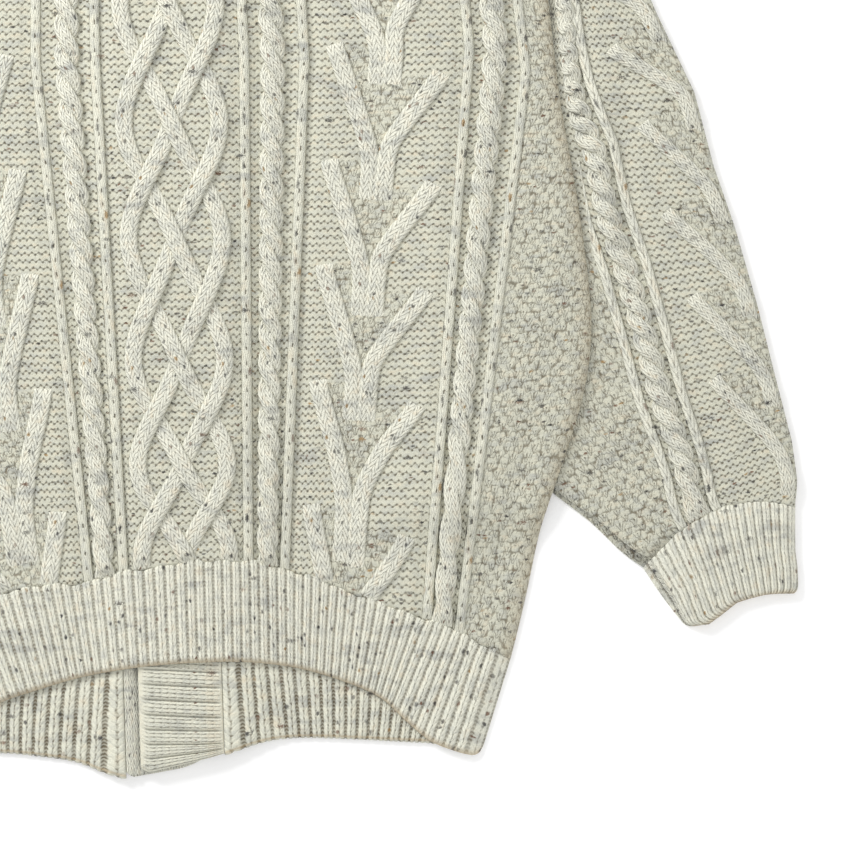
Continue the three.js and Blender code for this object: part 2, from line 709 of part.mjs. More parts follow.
/** A front's ribbed hem. Its inside faces up, and its ribs stand up where the back leaves it open. */
function frontHem(side, name) {
  const start = Math.abs(seamX(side));
  const endAt = (y) => edgeX(y) - FRONT_INSET;
  const reach = endAt(HEM_SIDE_Y) - start;
  const ribs = Math.round(reach / FRONT_RIB_PITCH);
  const openY = (x) => Math.max(hemLowY(x) - HEM_COVER, frontHemLowY(x) + HEM_STRIP);
  const rowsAt = [
    (x) => frontHemLowY(x),
    (x) => mix(frontHemLowY(x), openY(x), 0.5),
    (x) => openY(x),
    (x) => openY(x) + HEM_COVER - HEM_FLAT,
    () => FRONT_HEM_TOP_Y,
  ];
  const column = (share) => (y) => side * mix(start, endAt(y), share);
  const topFace = rowsAt.map((rowY, r) => steps(2 * ribs).map((share, i) => {
    const [x, y] = settle(column(share), rowY);
    const open = r < 3 && hemLowY(x) - HEM_COVER > frontHemLowY(x);
    return [x, y, lift(x, y) + CLOTH + (open && i % 2 ? RIB_RISE : 0)];
  }));
  const rampShare = (Math.abs(side > 0 ? BAND_RAMP[3].x : BAND_RAMP[0].x) - start) / reach;
  const underFace = [rowsAt[0], rowsAt[2], rowsAt[4]].map((rowY) => (
    [0, rampShare, ...HEM_UNDER_SHARES].map((share) => {
      const [x, y] = settle(column(share), rowY);
      return [x, y, lift(x, y)];
    })
  ));
  return piece(name, wall(topFace, underFace), WOOL);
}

/** A front band with its horizontal ribs, raised where the back leaves them open. */
function band(name, spec, underZ, ribbed) {
  const lowY = (x) => mix(spec.leftLowY, spec.rightLowY, (x - spec.left) / (spec.right - spec.left));
  const columns = [spec.left, mix(spec.left, spec.right, 0.5), spec.right];
  const openRibs = ribbed ? Math.floor(-spec.leftLowY / BAND_RIB_PITCH) : 0;
  const rows = [(x) => lowY(x)];
  const rises = [0];
  for (let half = 1; half < 2 * openRibs; half++) {
    rows.push((x) => lowY(x) * (1 - half / (2 * openRibs)) - BAND_EDGE);
    rises.push(half % 2 ? BAND_RIB_RISE : 0);
  }
  rows.push(() => 0, () => BAND_TOP_Y / 2, () => BAND_TOP_Y);
  rises.push(0, 0, 0);
  const topFace = rows.map((rowY, r) => columns.map((x) => (
    [x, rowY(x), underZ + BAND_CLOTH + rises[r]]
  )));
  const underFace = [lowY, () => BAND_TOP_Y].map((rowY) => columns.map((x) => [x, rowY(x), underZ]));
  return piece(name, wall(topFace, underFace), WOOL);
}

/** Plain sewn-on buttons with a rounded edge, face down under the buttonhole band. */
function buttons() {
  const profile = [
    [0, 0], [BUTTON_RADIUS - 1.2, 0], [BUTTON_RADIUS, 0.9], [BUTTON_RADIUS, BUTTON_THICK - 0.8],
    [BUTTON_RADIUS - 1, BUTTON_THICK], [0, BUTTON_THICK],
  ].map(([radius, height]) => new THREE.Vector2(radius, height));
  const x = mix(BUTTON_BAND.left, BUTTONHOLE_BAND.right, 0.5);
  return Array.from({ length: BUTTON_COUNT }, (_, i) => {
    const button = piece(`button_${i + 1}`, new THREE.LatheGeometry(profile, 16), HORN);
    button.rotation.x = Math.PI / 2;
    button.position.set(x, BUTTON_FIRST_Y + i * BUTTON_SPACING, 0);
    return button;
  });
}

// ---- sleeves and cuffs ---------------------------------------------------------------------------

/** A section of a flattened tube: its width and the plan place at a distance in from its fold. */
function section(table, at) {
  const of = (column) => read(table, 'at', at, column);
  const [outX, outY, inX, inY, bow] = ['outX', 'outY', 'inX', 'inY', 'bow'].map(of);
  const width = Math.hypot(outX - inX, outY - inY);
  const place = (inward) => {
    const share = inward / width;
    return [mix(outX, inX, share), mix(outY, inY, share) + 4 * share * (1 - share) * bow];
  };
  return { width, place };
}

// The rolled fold of a tube, from its under face round to its upper face, then the inner face.
const FOLD_OUTSIDE = [
  { inward: FOLD_DEPTH, z: 0 },
  { inward: 1.6, z: 0.9 },
  { inward: 0, z: SLEEVE_STACK / 2 },
  { inward: 1.6, z: SLEEVE_STACK - 0.9 },
];
const FOLD_INSIDE = [
  { inward: FOLD_DEPTH, z: CLOTH },
  { inward: FOLD_DEPTH - 2, z: SLEEVE_STACK / 2 },
  { inward: FOLD_DEPTH, z: CLOTH + SLEEVE_HOLLOW },
];

// Plain layers of a tube have these columns, by the share of the way in from the fold.
const TUBE_SHARES = [1, 0.8, 0.6, 0.4, 0.2];

/** A tube laid flat: one wall from the underarm seam under, round the fold and back over. */
function flatTube(name, side, table, rowsAt, insideRowsAt, upperColumns) {
  const outer = rowsAt.map((at) => {
    const { width, place } = section(table, at);
    const under = TUBE_SHARES.map((share) => [...place(mix(FOLD_DEPTH, width, share)), 0]);
    const fold = FOLD_OUTSIDE.map((row) => [...place(row.inward), row.z]);
    const upper = upperColumns(at, width, place);
    return [...under, ...fold, ...upper];
  });
  const inner = insideRowsAt.map((at) => {
    const { width, place } = section(table, at);
    const layer = (z) => TUBE_SHARES.map((share) => [...place(mix(FOLD_DEPTH, width, share)), z]);
    const fold = FOLD_INSIDE.map((row) => [...place(row.inward), row.z]);
    return [...layer(CLOTH), ...fold, ...layer(CLOTH + SLEEVE_HOLLOW).reverse()];
  });
  const turned = (grid) => grid.map((row) => row.map(([x, y, z]) => [side * x, y, z]));
  return piece(name, wall(turned(outer), turned(inner)), WOOL);
}

/** Length of the sleeve's outer fold from the shoulder down to a section. */
function alongFold(at) {
  let length = 0;
  const stops = SLEEVE_SECTIONS.filter((row) => row.at < at).map((row) => row.at);
  [...stops, at].reduce((from, to) => {
    const [a, b] = [from, to].map((stop) => section(SLEEVE_SECTIONS, stop).place(0));
    length += Math.hypot(b[0] - a[0], b[1] - a[1]);
    return to;
  });
  return length;
}

function sleeveRise(inward, along) {
  if (SLEEVE_LADDERS.some((ladder) => Math.abs(inward - ladder) < 0.5)) return LADDER_RISE;
  if (Math.abs(inward - SLEEVE_ROPE) < ROPE_HALF) return ropeRise(inward - SLEEVE_ROPE, along);
  if (inward > SLEEVE_LADDERS[0] - LADDER_HALF) return 0;
  let rise = 0;
  for (const foot of SLEEVE_BRANCH_FEET) {
    const down = along - (foot - SLEEVE_BRANCH_LENGTH);
    rise = Math.max(rise, armRise(inward - SLEEVE_STEM, down, SLEEVE_BRANCH_LENGTH));
  }
  return rise;
}

function sleeve(side, name) {
  const [ladderA, ladderB] = SLEEVE_LADDERS;
  const nominal = [
    FOLD_DEPTH, 14, 22, 30, 38, 46, 54,
    ladderA - LADDER_HALF, ladderA, ladderA + LADDER_HALF,
    SLEEVE_ROPE - ROPE_HALF, SLEEVE_ROPE - ROPE_SHOULDER, SLEEVE_ROPE + ROPE_SHOULDER,
    SLEEVE_ROPE + ROPE_HALF,
    ladderB - LADDER_HALF, ladderB, ladderB + LADDER_HALF,
  ];
  const plainShares = [0.2, 0.4, 0.6, 0.8, 1];
  const upperColumns = (at, width, place) => {
    const lastAt = SLEEVE_SECTIONS[SLEEVE_SECTIONS.length - 1].at;
    const gathered = clamp((at - GATHER_FROM) / (lastAt - GATHER_FROM), 0, 1);
    const narrow = mix(1, SLEEVE_GATHER, gathered);
    const along = alongFold(at);
    const raised = (inward, column) => {
      const [x, y] = place(inward);
      const outside = x - edgeX(y);
      const open = clamp((outside - RELIEF_CLEAR) / (RELIEF_FULL - RELIEF_CLEAR), 0, 1);
      return [x, y, SLEEVE_STACK + sleeveRise(column, along) * open];
    };
    const patterned = nominal.map((column) => raised(column * narrow, column));
    const from = SLEEVE_PATTERN_END * narrow;
    const plain = plainShares.map((share) => {
      const inward = mix(from, width, share);
      return [...place(inward), SLEEVE_STACK];
    });
    return [...patterned, ...plain];
  };
  const last = SLEEVE_SECTIONS.length - 1;
  const rowsAt = steps(Math.round(last * SLEEVE_ROWS_EACH)).map((share) => share * last);
  const insideRowsAt = steps(SLEEVE_INSIDE_ROWS).map((share) => share * last);
  return flatTube(name, side, SLEEVE_SECTIONS, rowsAt, insideRowsAt, upperColumns);
}

function cuff(side, name) {
  const upperColumns = (at, width, place) => steps(2 * CUFF_RIBS).map((share, i) => (
    [...place(mix(FOLD_DEPTH, width, share)), SLEEVE_STACK + (i % 2 ? RIB_RISE : 0)]
  ));
  const rowsAt = steps(CUFF_ROWS).map((share) => share * 2);
  return flatTube(name, side, CUFF, rowsAt, [0, 1, 2], upperColumns);
}

// ---- neckband ------------------------------------------------------------------------------------

/** The ribbed neckband: from one front's band round under, over behind the neck, and back. */
function neckband() {
  const frontLow = (angle) => [
    (NECK_HALF - SEAM) * Math.cos(angle), NECK_Y - (FRONT_NECK_DROP - SEAM) * Math.sin(angle),
  ];
  const frontHigh = (angle) => [
    NECKBAND_HALF_TOP * Math.cos(angle), NECKBAND_TOP_Y - NECKBAND_FRONT_DROP * Math.sin(angle),
  ];
  const backLow = (across) => [(NECK_HALF - SEAM) * across, backTopY(NECK_HALF * across) + SEAM];
  const backHigh = (across) => [
    NECKBAND_HALF_TOP * across,
    NECKBAND_TOP_Y - NECKBAND_BACK_DROP * Math.cos((across * Math.PI) / 2),
  ];
  const between = (low, high, height) => [mix(low[0], high[0], height), mix(low[1], high[1], height)];
  const row = (height, outside) => {
    const under = (side) => {
      const start = Math.abs(seamX(side));
      return neckAngles(seamX(side)).slice(0, -1).map((angle, i) => {
        const [x, y] = between(frontLow(angle), frontHigh(angle), height);
        const out = Math.max(x, start + i * NECK_KNOT_APART);
        return [side * out, y, lift(side * out, y) + (outside ? 0 : CLOTH)];
      });
    };
    const fold = (side) => {
      const [x, y] = between(backLow(1), backHigh(1), height);
      return [side * (x - (outside ? 0 : CLOTH)), y, BACK_FACE / 2];
    };
    const ribs = steps(2 * NECKBAND_RIBS).map((share) => mix(NECKBAND_TURN, -NECKBAND_TURN, share));
    const knots = MIDDLE_XS.slice(1).reverse().map((x) => x / NECK_HALF);
    const over = (outside ? ribs : knots).map((across, i) => {
      const [x, y] = between(backLow(across), backHigh(across), height);
      const rise = i % 2 ? RIB_RISE : 0;
      return [x, y, lift(x, y) + (outside ? BACK_FACE + rise : BACK_UNDER)];
    });
    return [...under(1), fold(1), ...over, fold(-1), ...under(-1).reverse()];
  };
  const heights = [0, 0.5, 1];
  const outer = heights.map((height) => row(height, true));
  const inner = heights.map((height) => row(height, false));
  return piece('neckband', wall(outer, inner), WOOL);
}

// ---- the garment ---------------------------------------------------------------------------------

const cardigan = new THREE.Group();
cardigan.name = 'cardigan';
cardigan.add(
  back(),
  backHem(),
  front(1, 'front_right'),
  front(-1, 'front_left'),
  frontHem(1, 'front_hem_right'),
  frontHem(-1, 'front_hem_left'),
  band('button_band', BUTTON_BAND, BUTTON_BAND_Z, true),
  band('buttonhole_band', BUTTONHOLE_BAND, BUTTONHOLE_BAND_Z, false),
  neckband(),
  sleeve(1, 'sleeve_right'),
  sleeve(-1, 'sleeve_left'),
  cuff(1, 'cuff_right'),
  cuff(-1, 'cuff_left'),
  ...buttons(),
);

const LOWEST_Y = BUTTONHOLE_BAND.leftLowY;
cardigan.position.y = -(LOWEST_Y + NECKBAND_TOP_Y) / 2;

export default cardigan;
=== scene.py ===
"""Cable knit cardigan in tweed wool, buttoned and laid flat with its back up.

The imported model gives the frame. Each knitted panel is a closed thin wall on its solid's form, and
every cable, ladder and branch on it is a strand of its own that passes over and under the others.
Plan sizes are in millimetres from the middle of the back hem's lower edge: x across, y to the neck.
A pattern column is a distance from the middle as the columns are spaced at the chest.
"""

import math

import bmesh
import bpy
import numpy as np
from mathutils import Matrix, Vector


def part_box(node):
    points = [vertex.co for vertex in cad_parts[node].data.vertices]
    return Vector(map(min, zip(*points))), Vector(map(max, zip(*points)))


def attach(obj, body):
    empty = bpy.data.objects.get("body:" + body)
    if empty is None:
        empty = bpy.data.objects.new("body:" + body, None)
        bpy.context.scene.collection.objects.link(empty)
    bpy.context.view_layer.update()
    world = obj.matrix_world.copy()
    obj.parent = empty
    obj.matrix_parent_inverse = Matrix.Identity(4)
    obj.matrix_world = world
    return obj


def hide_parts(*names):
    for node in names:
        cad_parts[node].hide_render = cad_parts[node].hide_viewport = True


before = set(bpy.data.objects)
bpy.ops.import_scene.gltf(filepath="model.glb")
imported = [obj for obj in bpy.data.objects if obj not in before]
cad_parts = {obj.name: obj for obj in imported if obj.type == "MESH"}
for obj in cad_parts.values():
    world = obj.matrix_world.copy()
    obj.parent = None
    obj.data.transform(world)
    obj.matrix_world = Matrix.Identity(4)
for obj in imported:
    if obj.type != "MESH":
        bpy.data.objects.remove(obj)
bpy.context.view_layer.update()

MM = 0.001

# ---- sizes that the pieces share ---------------------------------------------------------------

CLOTH = 3.0                   # plain wall of the body and sleeves
BAND_CLOTH = 2.6
SEAM = 0.3
HEM_SEAM = 0.6
LAYER = 0.7
SLEEVE_HOLLOW = 0.4
BUTTON_THICK = 2.4
COURSE = 5.3                  # height of a row of knitting
WALE = 5.4                    # width of a stitch of the plain ground
SIDE_WALE = 5.0
LEVEL_ROWS = 0.75             # how far the rows stay level where the hem slopes

SIDE_EDGE = {                 # side edge and armhole
    "y": [-75, -42, -6, 37, 87, 115, 144, 180, 215, 251, 324, 396, 487, 700],
    "x": [206.5, 218.4, 230.4, 242.5, 255, 265, 276, 288, 295, 296, 289, 279, 271, 250],
}
UNDERARM_Y = 487
SHOULDER_X, SHOULDER_Y = 250, 700
NECK_HALF, NECK_Y = 85, 742
BACK_NECK_DROP, FRONT_NECK_DROP = 20, 92
NECKBAND_HALF_TOP, NECKBAND_TOP_Y = 70, 770
NECKBAND_BACK_DROP, NECKBAND_FRONT_DROP = 14, 90
BAND_TOP_Y = 680

# The back's ribbed hem: seam above and free edge below, by the share of the way out to the side.
HEM_RIGHT = {
    "share": [0, 0.16, 0.34, 0.5, 0.63, 0.75, 0.84, 0.92, 1],
    "topX": [0, 37, 78, 113, 145, 174, 194, 212, 230.4],
    "topY": [71, 70.5, 61, 47, 34, 23, 13.5, 4, -6],
    "lowX": [0, 36, 77, 112, 137, 156, 171, 189, 206.5],
    "lowY": [0, -0.4, -6.5, -18, -30.5, -49, -62, -70, -75],
}
HEM_LEFT = {
    "share": [0, 0.16, 0.34, 0.5, 0.63, 0.75, 0.84, 0.92, 1],
    "topX": [0, 37, 78, 113, 145, 174, 194, 212, 230.4],
    "topY": [71, 66, 58, 56, 50, 37, 24, 9, -6],
    "lowX": [0, 36, 77, 112, 140, 163, 177, 191, 206.5],
    "lowY": [0, -2, -8, -17, -26, -42, -57, -67, -75],
}
HEM_LENGTH = 226.5
HEM_RIBS = {"right": 34, "left": 29}
HEM_LEAN = {                  # how far the ribs' low ends draw in, as shares of the way out
    "share": [0, 0.16, 0.3, 0.48, 0.64, 0.75, 0.86, 1],
    "right": [0, 0, 0, 0.03, 0.045, 0.064, 0.03, 0],
    "left": [0, 0.005, 0.02, 0.06, 0.08, 0.075, 0.035, 0],
}
FRONT_HEM_RIGHT = {
    "x": [23, 52, 77, 113, 149, 171, 189, 206],
    "lowY": [-67, -58.5, -56.5, -58.5, -61.5, -63.5, -67.5, -72],
}
FRONT_HEM_LEFT = {
    "x": [48, 64, 82, 103, 139, 171, 189, 206],
    "lowY": [-82, -77, -69.5, -65, -60.5, -61.5, -66, -72],
}
FRONT_HEM_LEAN = {            # how far the ribs' low ends stand out, as shares of the way out
    "share": [0, 0.06, 0.2, 0.3, 0.5, 0.75, 1],
    "right": [0, 0.025, 0.05, 0.048, 0.038, 0.01, 0],
    "left": [0, 0.06, 0.085, 0.095, 0.095, 0.07, 0],
}
FRONT_HEM_TOP_Y = 8
FRONT_RIB_PITCH = 8.4
SEAM_STITCHES = 10            # the wide column of stitches beside the button band
FRONT_INSET = 6.5
BUTTON_BAND = {"left": -37, "right": 23, "leftLowY": -79, "rightLowY": -67}
BUTTONHOLE_BAND = {"left": -48, "right": 12, "leftLowY": -82, "rightLowY": -73}
BAND_RIB_PITCH = 10.9
BAND_CORNER = 5               # how far a band's low corner is rounded up
TRENCH = 2.2                  # between the two bands
PUFF = 2.4                    # how far the lower band swells up beside it

SLEEVE_STACK = 2 * CLOTH + SLEEVE_HOLLOW
SLEEVE_LIFT = SLEEVE_STACK + LAYER
BUTTONHOLE_BAND_Z = BUTTON_THICK + SEAM
BUTTON_BAND_Z = BUTTONHOLE_BAND_Z + BAND_CLOTH + SEAM
BAND_LIFT = BUTTON_BAND_Z + BAND_CLOTH - CLOTH
BACK_UNDER = CLOTH + LAYER
BACK_FACE = BACK_UNDER + CLOTH

SLEEVE_RAMP = {"inset": [90, 140], "share": [1, 0]}
SLEEVE_FADE = {"y": [70, 110, UNDERARM_Y, 545], "share": [0, 1, 1, 0]}
BAND_RAMP = {"x": [-86, -37, 23, 78], "share": [0, 1, 1, 0]}
BAND_FADE = {"y": [BAND_TOP_Y, 730], "share": [1, 0]}

# How the back's wall rolls round the side edge, by the distance in from the edge.
ROLL_OUTSIDE = {
    "inset": [20, 16, 12.5, 9.5, 7, 5, 3.2, 1.8, 0.7, 0, 0.5],
    "drop": [0, 0.1, 0.35, 0.75, 1.25, 1.85, 2.6, 3.35, 4.3, 5.3, 6.3],
}
ROLL_START = ROLL_OUTSIDE["inset"][0]

# ---- the pattern's columns ---------------------------------------------------------------------

PATTERN_HIGH_Y, PATTERN_LOW_Y = 433, 100
PATTERN_END_SHARE = -0.35
PATTERN_LINES = {             # each column's distance from the middle at those two heights
    "high": [0, 42, 53.5, 74, 96.5, 155.5, 215, 234, 262],
    "low": [0, 38.5, 45.6, 60, 73, 119, 179.5, 192, 210],
}
BRAID_HALF = 42
STEM_AT = 155.5
ROPES_AT = [74, 234]
LADDERS_AT = [53.5, 96.5, 215, 257.5]
VALLEYS_AT = [47.5, 63, 86.5, 103, 209, 224, 246]  # purl columns that sink in beside the strands
VALLEY = 1.5
PATTERN_END = 260.5
BRAID_CROSSINGS = {           # where the braid's two middle strands cross, counted downwards
    "y": [-10, 77, 142, 217, 304, 387, 473, 557, 641, 725, 809],
    "turn": [6, 5, 4, 3, 2, 1, 0, -1, -2, -3, -4],
}
BRAID_REACH, BRAID_SQUARE = 31.8, 2.8   # how far out its strands swing
BRAID_OVER = np.array([0, 1, -1, 1, 0, -1, 1, -1])  # whether a strand is on top at its next crossings
ROPE_TURN = 20.5              # length of rope from one crossing to the next
ROPE_SWING = 4.0
BRANCHES = {
    "inner": [690, 607, 524, 441, 358, 283, 200, 117],
    "outer": [666, 583, 500, 417, 338, 262, 180, 108],
}
BRANCH_LENGTH = 120           # from the inner arm's tip to the foot of the stem below
INNER_ARM = {"down": [0, 8, 70, 86, 120], "out": [37, 35, 10, 6.2, 6.2]}
OUTER_ARM = {"down": [0, 6, 44, 58, 120], "out": [41, 38, 11, 6.2, 6.2]}

# Strands: half width and height in millimetres, and how many stitches wide they are.
BRAID_STRAND = {"half": 6.6, "rise": 2.7, "wales": 2}
ROPE_STRAND = {"half": 5.5, "rise": 3.0, "wales": 2}
ARM_STRAND = {"half": 6.9, "rise": 2.3, "wales": 2}
SLEEVE_ARM_STRAND = {"half": 5.4, "rise": 2.4, "wales": 2}
LADDER_STRAND = {"half": 3.9, "rise": 1.9, "wales": 1}
LADDER_STITCH = 10.1          # a ladder's stitches are slipped, so each is nearly two rows long
SINK = 9.0                    # length over which a strand sinks in at the ribs it starts from
STRAND_STEP = 1.35            # spacing of a strand's sections
OVERPASS = 1.6                # how far a strand rises where it is on top
ROPE_OVERPASS = 2.3

# ---- sleeve ------------------------------------------------------------------------------------

SLEEVE = {                    # sections of the flattened sleeve from the armhole to the cuff
    "at": list(range(14)),
    "outX": [249.2, 292, 325, 351, 376, 388, 402, 416, 428, 438, 441, 440, 439, 438.9],
    "outY": [700.3, 605, 520, 455, 398, 345, 300, 245, 190, 145, 117, 107, 101, 97],
    "inX": [270.4, 268, 258, 240, 222, 213, 214, 224, 240, 256, 267, 297, 319, 333.5],
    "inY": [487, 440, 395, 352, 310, 272, 235, 200, 163, 132, 114, 92, 71, 63],
    "bow": [0, 0, 0, 0, 0, 0, 0, 0, 2, 4, 7, 12, 16, 18],
}
CUFF_OVER = -0.09             # how far its ribs run up over the seam, in sections
CUFF_SECTION = -30.0          # length of a section there
CUFF = {                      # its low corners are rounded
    "at": [0, 0.5, 1, 1.4, 1.8, 1.86, 1.93, 1.98, 2],
    "outX": [438.9, 438.3, 438, 439.2, 439.3, 439.2, 438.6, 437.4, 436],
    "outY": [96.4, 81.2, 66, 54.2, 42.3, 40.5, 38.3, 36.5, 35.4],
    "inX": [333.7, 341, 349, 353, 357.5, 358.6, 361, 364.5, 367],
    "inY": [62.4, 48.6, 35, 26, 17.4, 16.2, 15, 14.6, 14.9],
    "bow": [18, 14.5, 11, 8.2, 5.4, 5, 4.5, 4.1, 4],
}
CUFF_WAVE = {"share": [0, 0.3, 0.6, 0.77, 0.9, 1], "rise": [0, 2.6, 3.2, -1, -3, 0]}
SLEEVE_SLANT = {"y": [100, 330], "slope": [0.3, 0.02], "about": 350}  # of its rows
SLEEVE_LADDERS = [69, 100]
SLEEVE_ROPE = 84.5
SLEEVE_VALLEYS_AT = [62, 75, 94, 107]
SLEEVE_VALLEY, SLEEVE_VALLEY_HALF = 0.8, 4.0
SLEEVE_MOSS_FROM = 104        # the moss stitch beside the pattern starts here
SLEEVE_STEM = 2
SLEEVE_BRANCH_FEET = [145, 215, 285, 355, 425, 497, 565, 632]
SLEEVE_BRANCH_LENGTH = 98
SLEEVE_ARM = {"down": [0, 8, 62, 78, 120], "out": [42, 39, 10, 6, 6]}
SLEEVE_GATHER, GATHER_FROM = 0.85, 8
FOLD_IN, SEAM_IN = 6.0, 4.0   # a tube's face starts and ends this far in from its two sides
RING_STEP = 2.65              # spacing of the sleeve's sections
CUFF_RIBS = 15
NECKBAND_RIBS = 26

# Soft creases: from (x, y) to (x, y), height (a trough is below 0) and half width.
BACK_CREASES = [
    (52, 110, 61, 250, -1.5, 6),
    (66, 95, 78, 330, 1.1, 9),
    (84, 120, 92, 300, -1.0, 6),
    (150, 60, 196, 210, -1.2, 8),
    (182, 40, 232, 200, 1.3, 11),
    (205, 25, 262, 170, -1.3, 8),
    (228, 120, 276, 330, 1.4, 13),
    (246, 300, 250, 470, -1.2, 9),
    (120, 380, 205, 470, -0.8, 14),
    (100, 210, 180, 250, 0.7, 16),
    (-60, 100, -66, 280, -1.3, 6),
    (-80, 120, -96, 320, 1.0, 9),
    (-140, 60, -190, 190, -1.2, 8),
    (-176, 50, -226, 210, 1.3, 11),
    (-210, 40, -266, 200, -1.2, 8),
    (-236, 130, -272, 360, 1.3, 13),
    (-244, 320, -246, 480, -1.1, 9),
    (30, 560, 190, 640, 0.9, 18),
    (-40, 540, -200, 650, 0.9, 18),
    (110, 520, 230, 560, -0.9, 12),
    (-120, 500, -236, 550, -0.9, 12),
]
SLEEVE_CREASES = [
    (296, 470, 290, 250, -1.8, 8),
    (306, 480, 306, 260, 1.6, 9),
    (286, 330, 258, 170, 1.2, 12),
    (322, 430, 330, 210, -1.2, 8),
    (300, 220, 330, 110, -1.3, 9),
    (330, 260, 366, 118, 1.2, 11),
    (352, 200, 388, 118, -1.0, 8),
    (372, 330, 402, 190, 0.9, 12),
    (398, 240, 418, 118, -0.8, 8),
    (276, 250, 262, 140, -1.0, 8),
    (330, 560, 300, 470, -1.0, 12),
]


# ---- reading tables ----------------------------------------------------------------------------

def mix(a, b, share):
    return a + (b - a) * share


def ease(share):
    share = np.clip(share, 0, 1)
    return share * share * (3 - 2 * share)


def straight(table, key, column, at):
    """A table's column at values of its key, straight between its rows."""
    return np.interp(at, table[key], table[column])


def smooth(table, key, column, at):
    """The same on one smooth curve through the rows, for an outline."""
    keys, values = np.array(table[key], float), np.array(table[column], float)
    rows = np.arange(len(keys))
    before, after = np.maximum(rows - 1, 0), np.minimum(rows + 1, len(keys) - 1)
    slope = (values[after] - values[before]) / (keys[after] - keys[before])
    at = np.clip(np.asarray(at, float), keys[0], keys[-1])
    row = np.clip(np.searchsorted(keys, at), 1, len(keys) - 1)
    run, rise = keys[row] - keys[row - 1], values[row] - values[row - 1]
    t = (at - keys[row - 1]) / run
    start, end = slope[row - 1] * run - rise, rise - slope[row] * run
    return values[row - 1] + rise * t + t * (1 - t) * (start * (1 - t) + end * t)


def edge_x(y):
    return smooth(SIDE_EDGE, "y", "x", y)


def by_side(x, right, left, key, column):
    return np.where(x >= 0, smooth(right, key, column, abs(x)), smooth(left, key, column, abs(x)))


def hem_top_y(x):
    return by_side(x, HEM_RIGHT, HEM_LEFT, "topX", "topY")


def hem_low_y(x):
    return by_side(x, HEM_RIGHT, HEM_LEFT, "lowX", "lowY")


def front_hem_low_y(x):
    return by_side(x, FRONT_HEM_RIGHT, FRONT_HEM_LEFT, "x", "lowY")


def shoulder_y(x):
    return mix(NECK_Y, SHOULDER_Y, (abs(x) - NECK_HALF) / (SHOULDER_X - NECK_HALF))


def back_top_y(x):
    share = np.minimum(abs(x) / NECK_HALF, 1)
    return np.where(share < 1, NECK_Y - BACK_NECK_DROP * np.cos(share * math.pi / 2), shoulder_y(x))


def front_top_y(x):
    share = np.minimum(abs(x) / NECK_HALF, 1)
    return np.where(share < 1, NECK_Y - FRONT_NECK_DROP * np.sqrt(1 - share**2), shoulder_y(x))


def lift(x, y):
    """How far the body lies above the surface, over the bands and the tucked sleeves."""
    over_sleeve = ease(straight(SLEEVE_RAMP, "inset", "share", edge_x(y) - abs(x)))
    over_bands = ease(straight(BAND_RAMP, "x", "share", x))
    return (SLEEVE_LIFT * over_sleeve * ease(straight(SLEEVE_FADE, "y", "share", y))
            + BAND_LIFT * over_bands * ease(straight(BAND_FADE, "y", "share", y)))


CREASE_SWAY = 0.6             # how far a crease swings from its line, in its half widths
CREASE_END = 0.35             # share of its length over which it fades at each end


def creases(table, x, y):
    """Height that a table's soft troughs and ridges add at a point."""
    height = np.zeros_like(x)
    for x0, y0, x1, y1, size, half in table:
        length = math.hypot(x1 - x0, y1 - y0)
        along = ((x - x0) * (x1 - x0) + (y - y0) * (y1 - y0)) / length**2
        across = ((x - x0) * (y1 - y0) - (y - y0) * (x1 - x0)) / length
        across = across + half * CREASE_SWAY * np.sin(along * 4.1 + x0)
        fade = ease(along / CREASE_END + 0.3) * ease((1 - along) / CREASE_END + 0.3)
        height = height + size * fade * np.exp(-((across / half) ** 2))
    return height


def column_x(column, y):
    """Where a pattern column runs at height y."""
    low = straight(PATTERN_LINES, "high", "low", abs(column))
    share = np.clip((y - PATTERN_LOW_Y) / (PATTERN_HIGH_Y - PATTERN_LOW_Y), PATTERN_END_SHARE, 1)
    narrowing = np.where(y > PATTERN_HIGH_Y, edge_x(y) / edge_x(PATTERN_HIGH_Y), 1)
    x = mix(low, abs(column), share) * narrowing
    limit = edge_x(y) - ROLL_START - 2 - (PATTERN_END - abs(column)) * 0.06
    return np.sign(column) * np.minimum(x, limit)


HEM_ROW, STRAIGHT_ROW, TOP_ROW, LAST_ROW = 71, 150, 545, 742


def row_y(row, x):
    """Height of a row of knitting, which follows the hem's curve below and the shoulders above."""
    low = mix(hem_top_y(x) + HEM_SEAM, STRAIGHT_ROW, (row - HEM_ROW) / (STRAIGHT_ROW - HEM_ROW))
    high = mix(TOP_ROW, back_top_y(x), (row - TOP_ROW) / (LAST_ROW - TOP_ROW))
    return np.where(row < STRAIGHT_ROW, low, np.where(row > TOP_ROW, high, row))


def settle(x_at, y_at, shape):
    """Plan places where x depends on y and y on x."""
    y = np.full(shape, 200.0)
    for _ in range(9):
        y = y_at(x_at(y))
    return x_at(y), y


def back_z(x, y):
    """The back's outer face, without its cables."""
    roll = straight({"inset": ROLL_OUTSIDE["inset"][-2::-1], "drop": ROLL_OUTSIDE["drop"][-2::-1]},
                    "inset", "drop", edge_x(y) - abs(x))
    return lift(x, y) + BACK_FACE + creases(BACK_CREASES, x, y) - roll


# ---- making a knitted mesh ---------------------------------------------------------------------

SHIFT_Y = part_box("buttonhole_band")[0].y / MM - BUTTONHOLE_BAND["leftLowY"]


def stack(*values):
    """Arrays of one shape, or numbers, put together as the last axis."""
    return np.stack(np.broadcast_arrays(*values), axis=-1).astype(float)


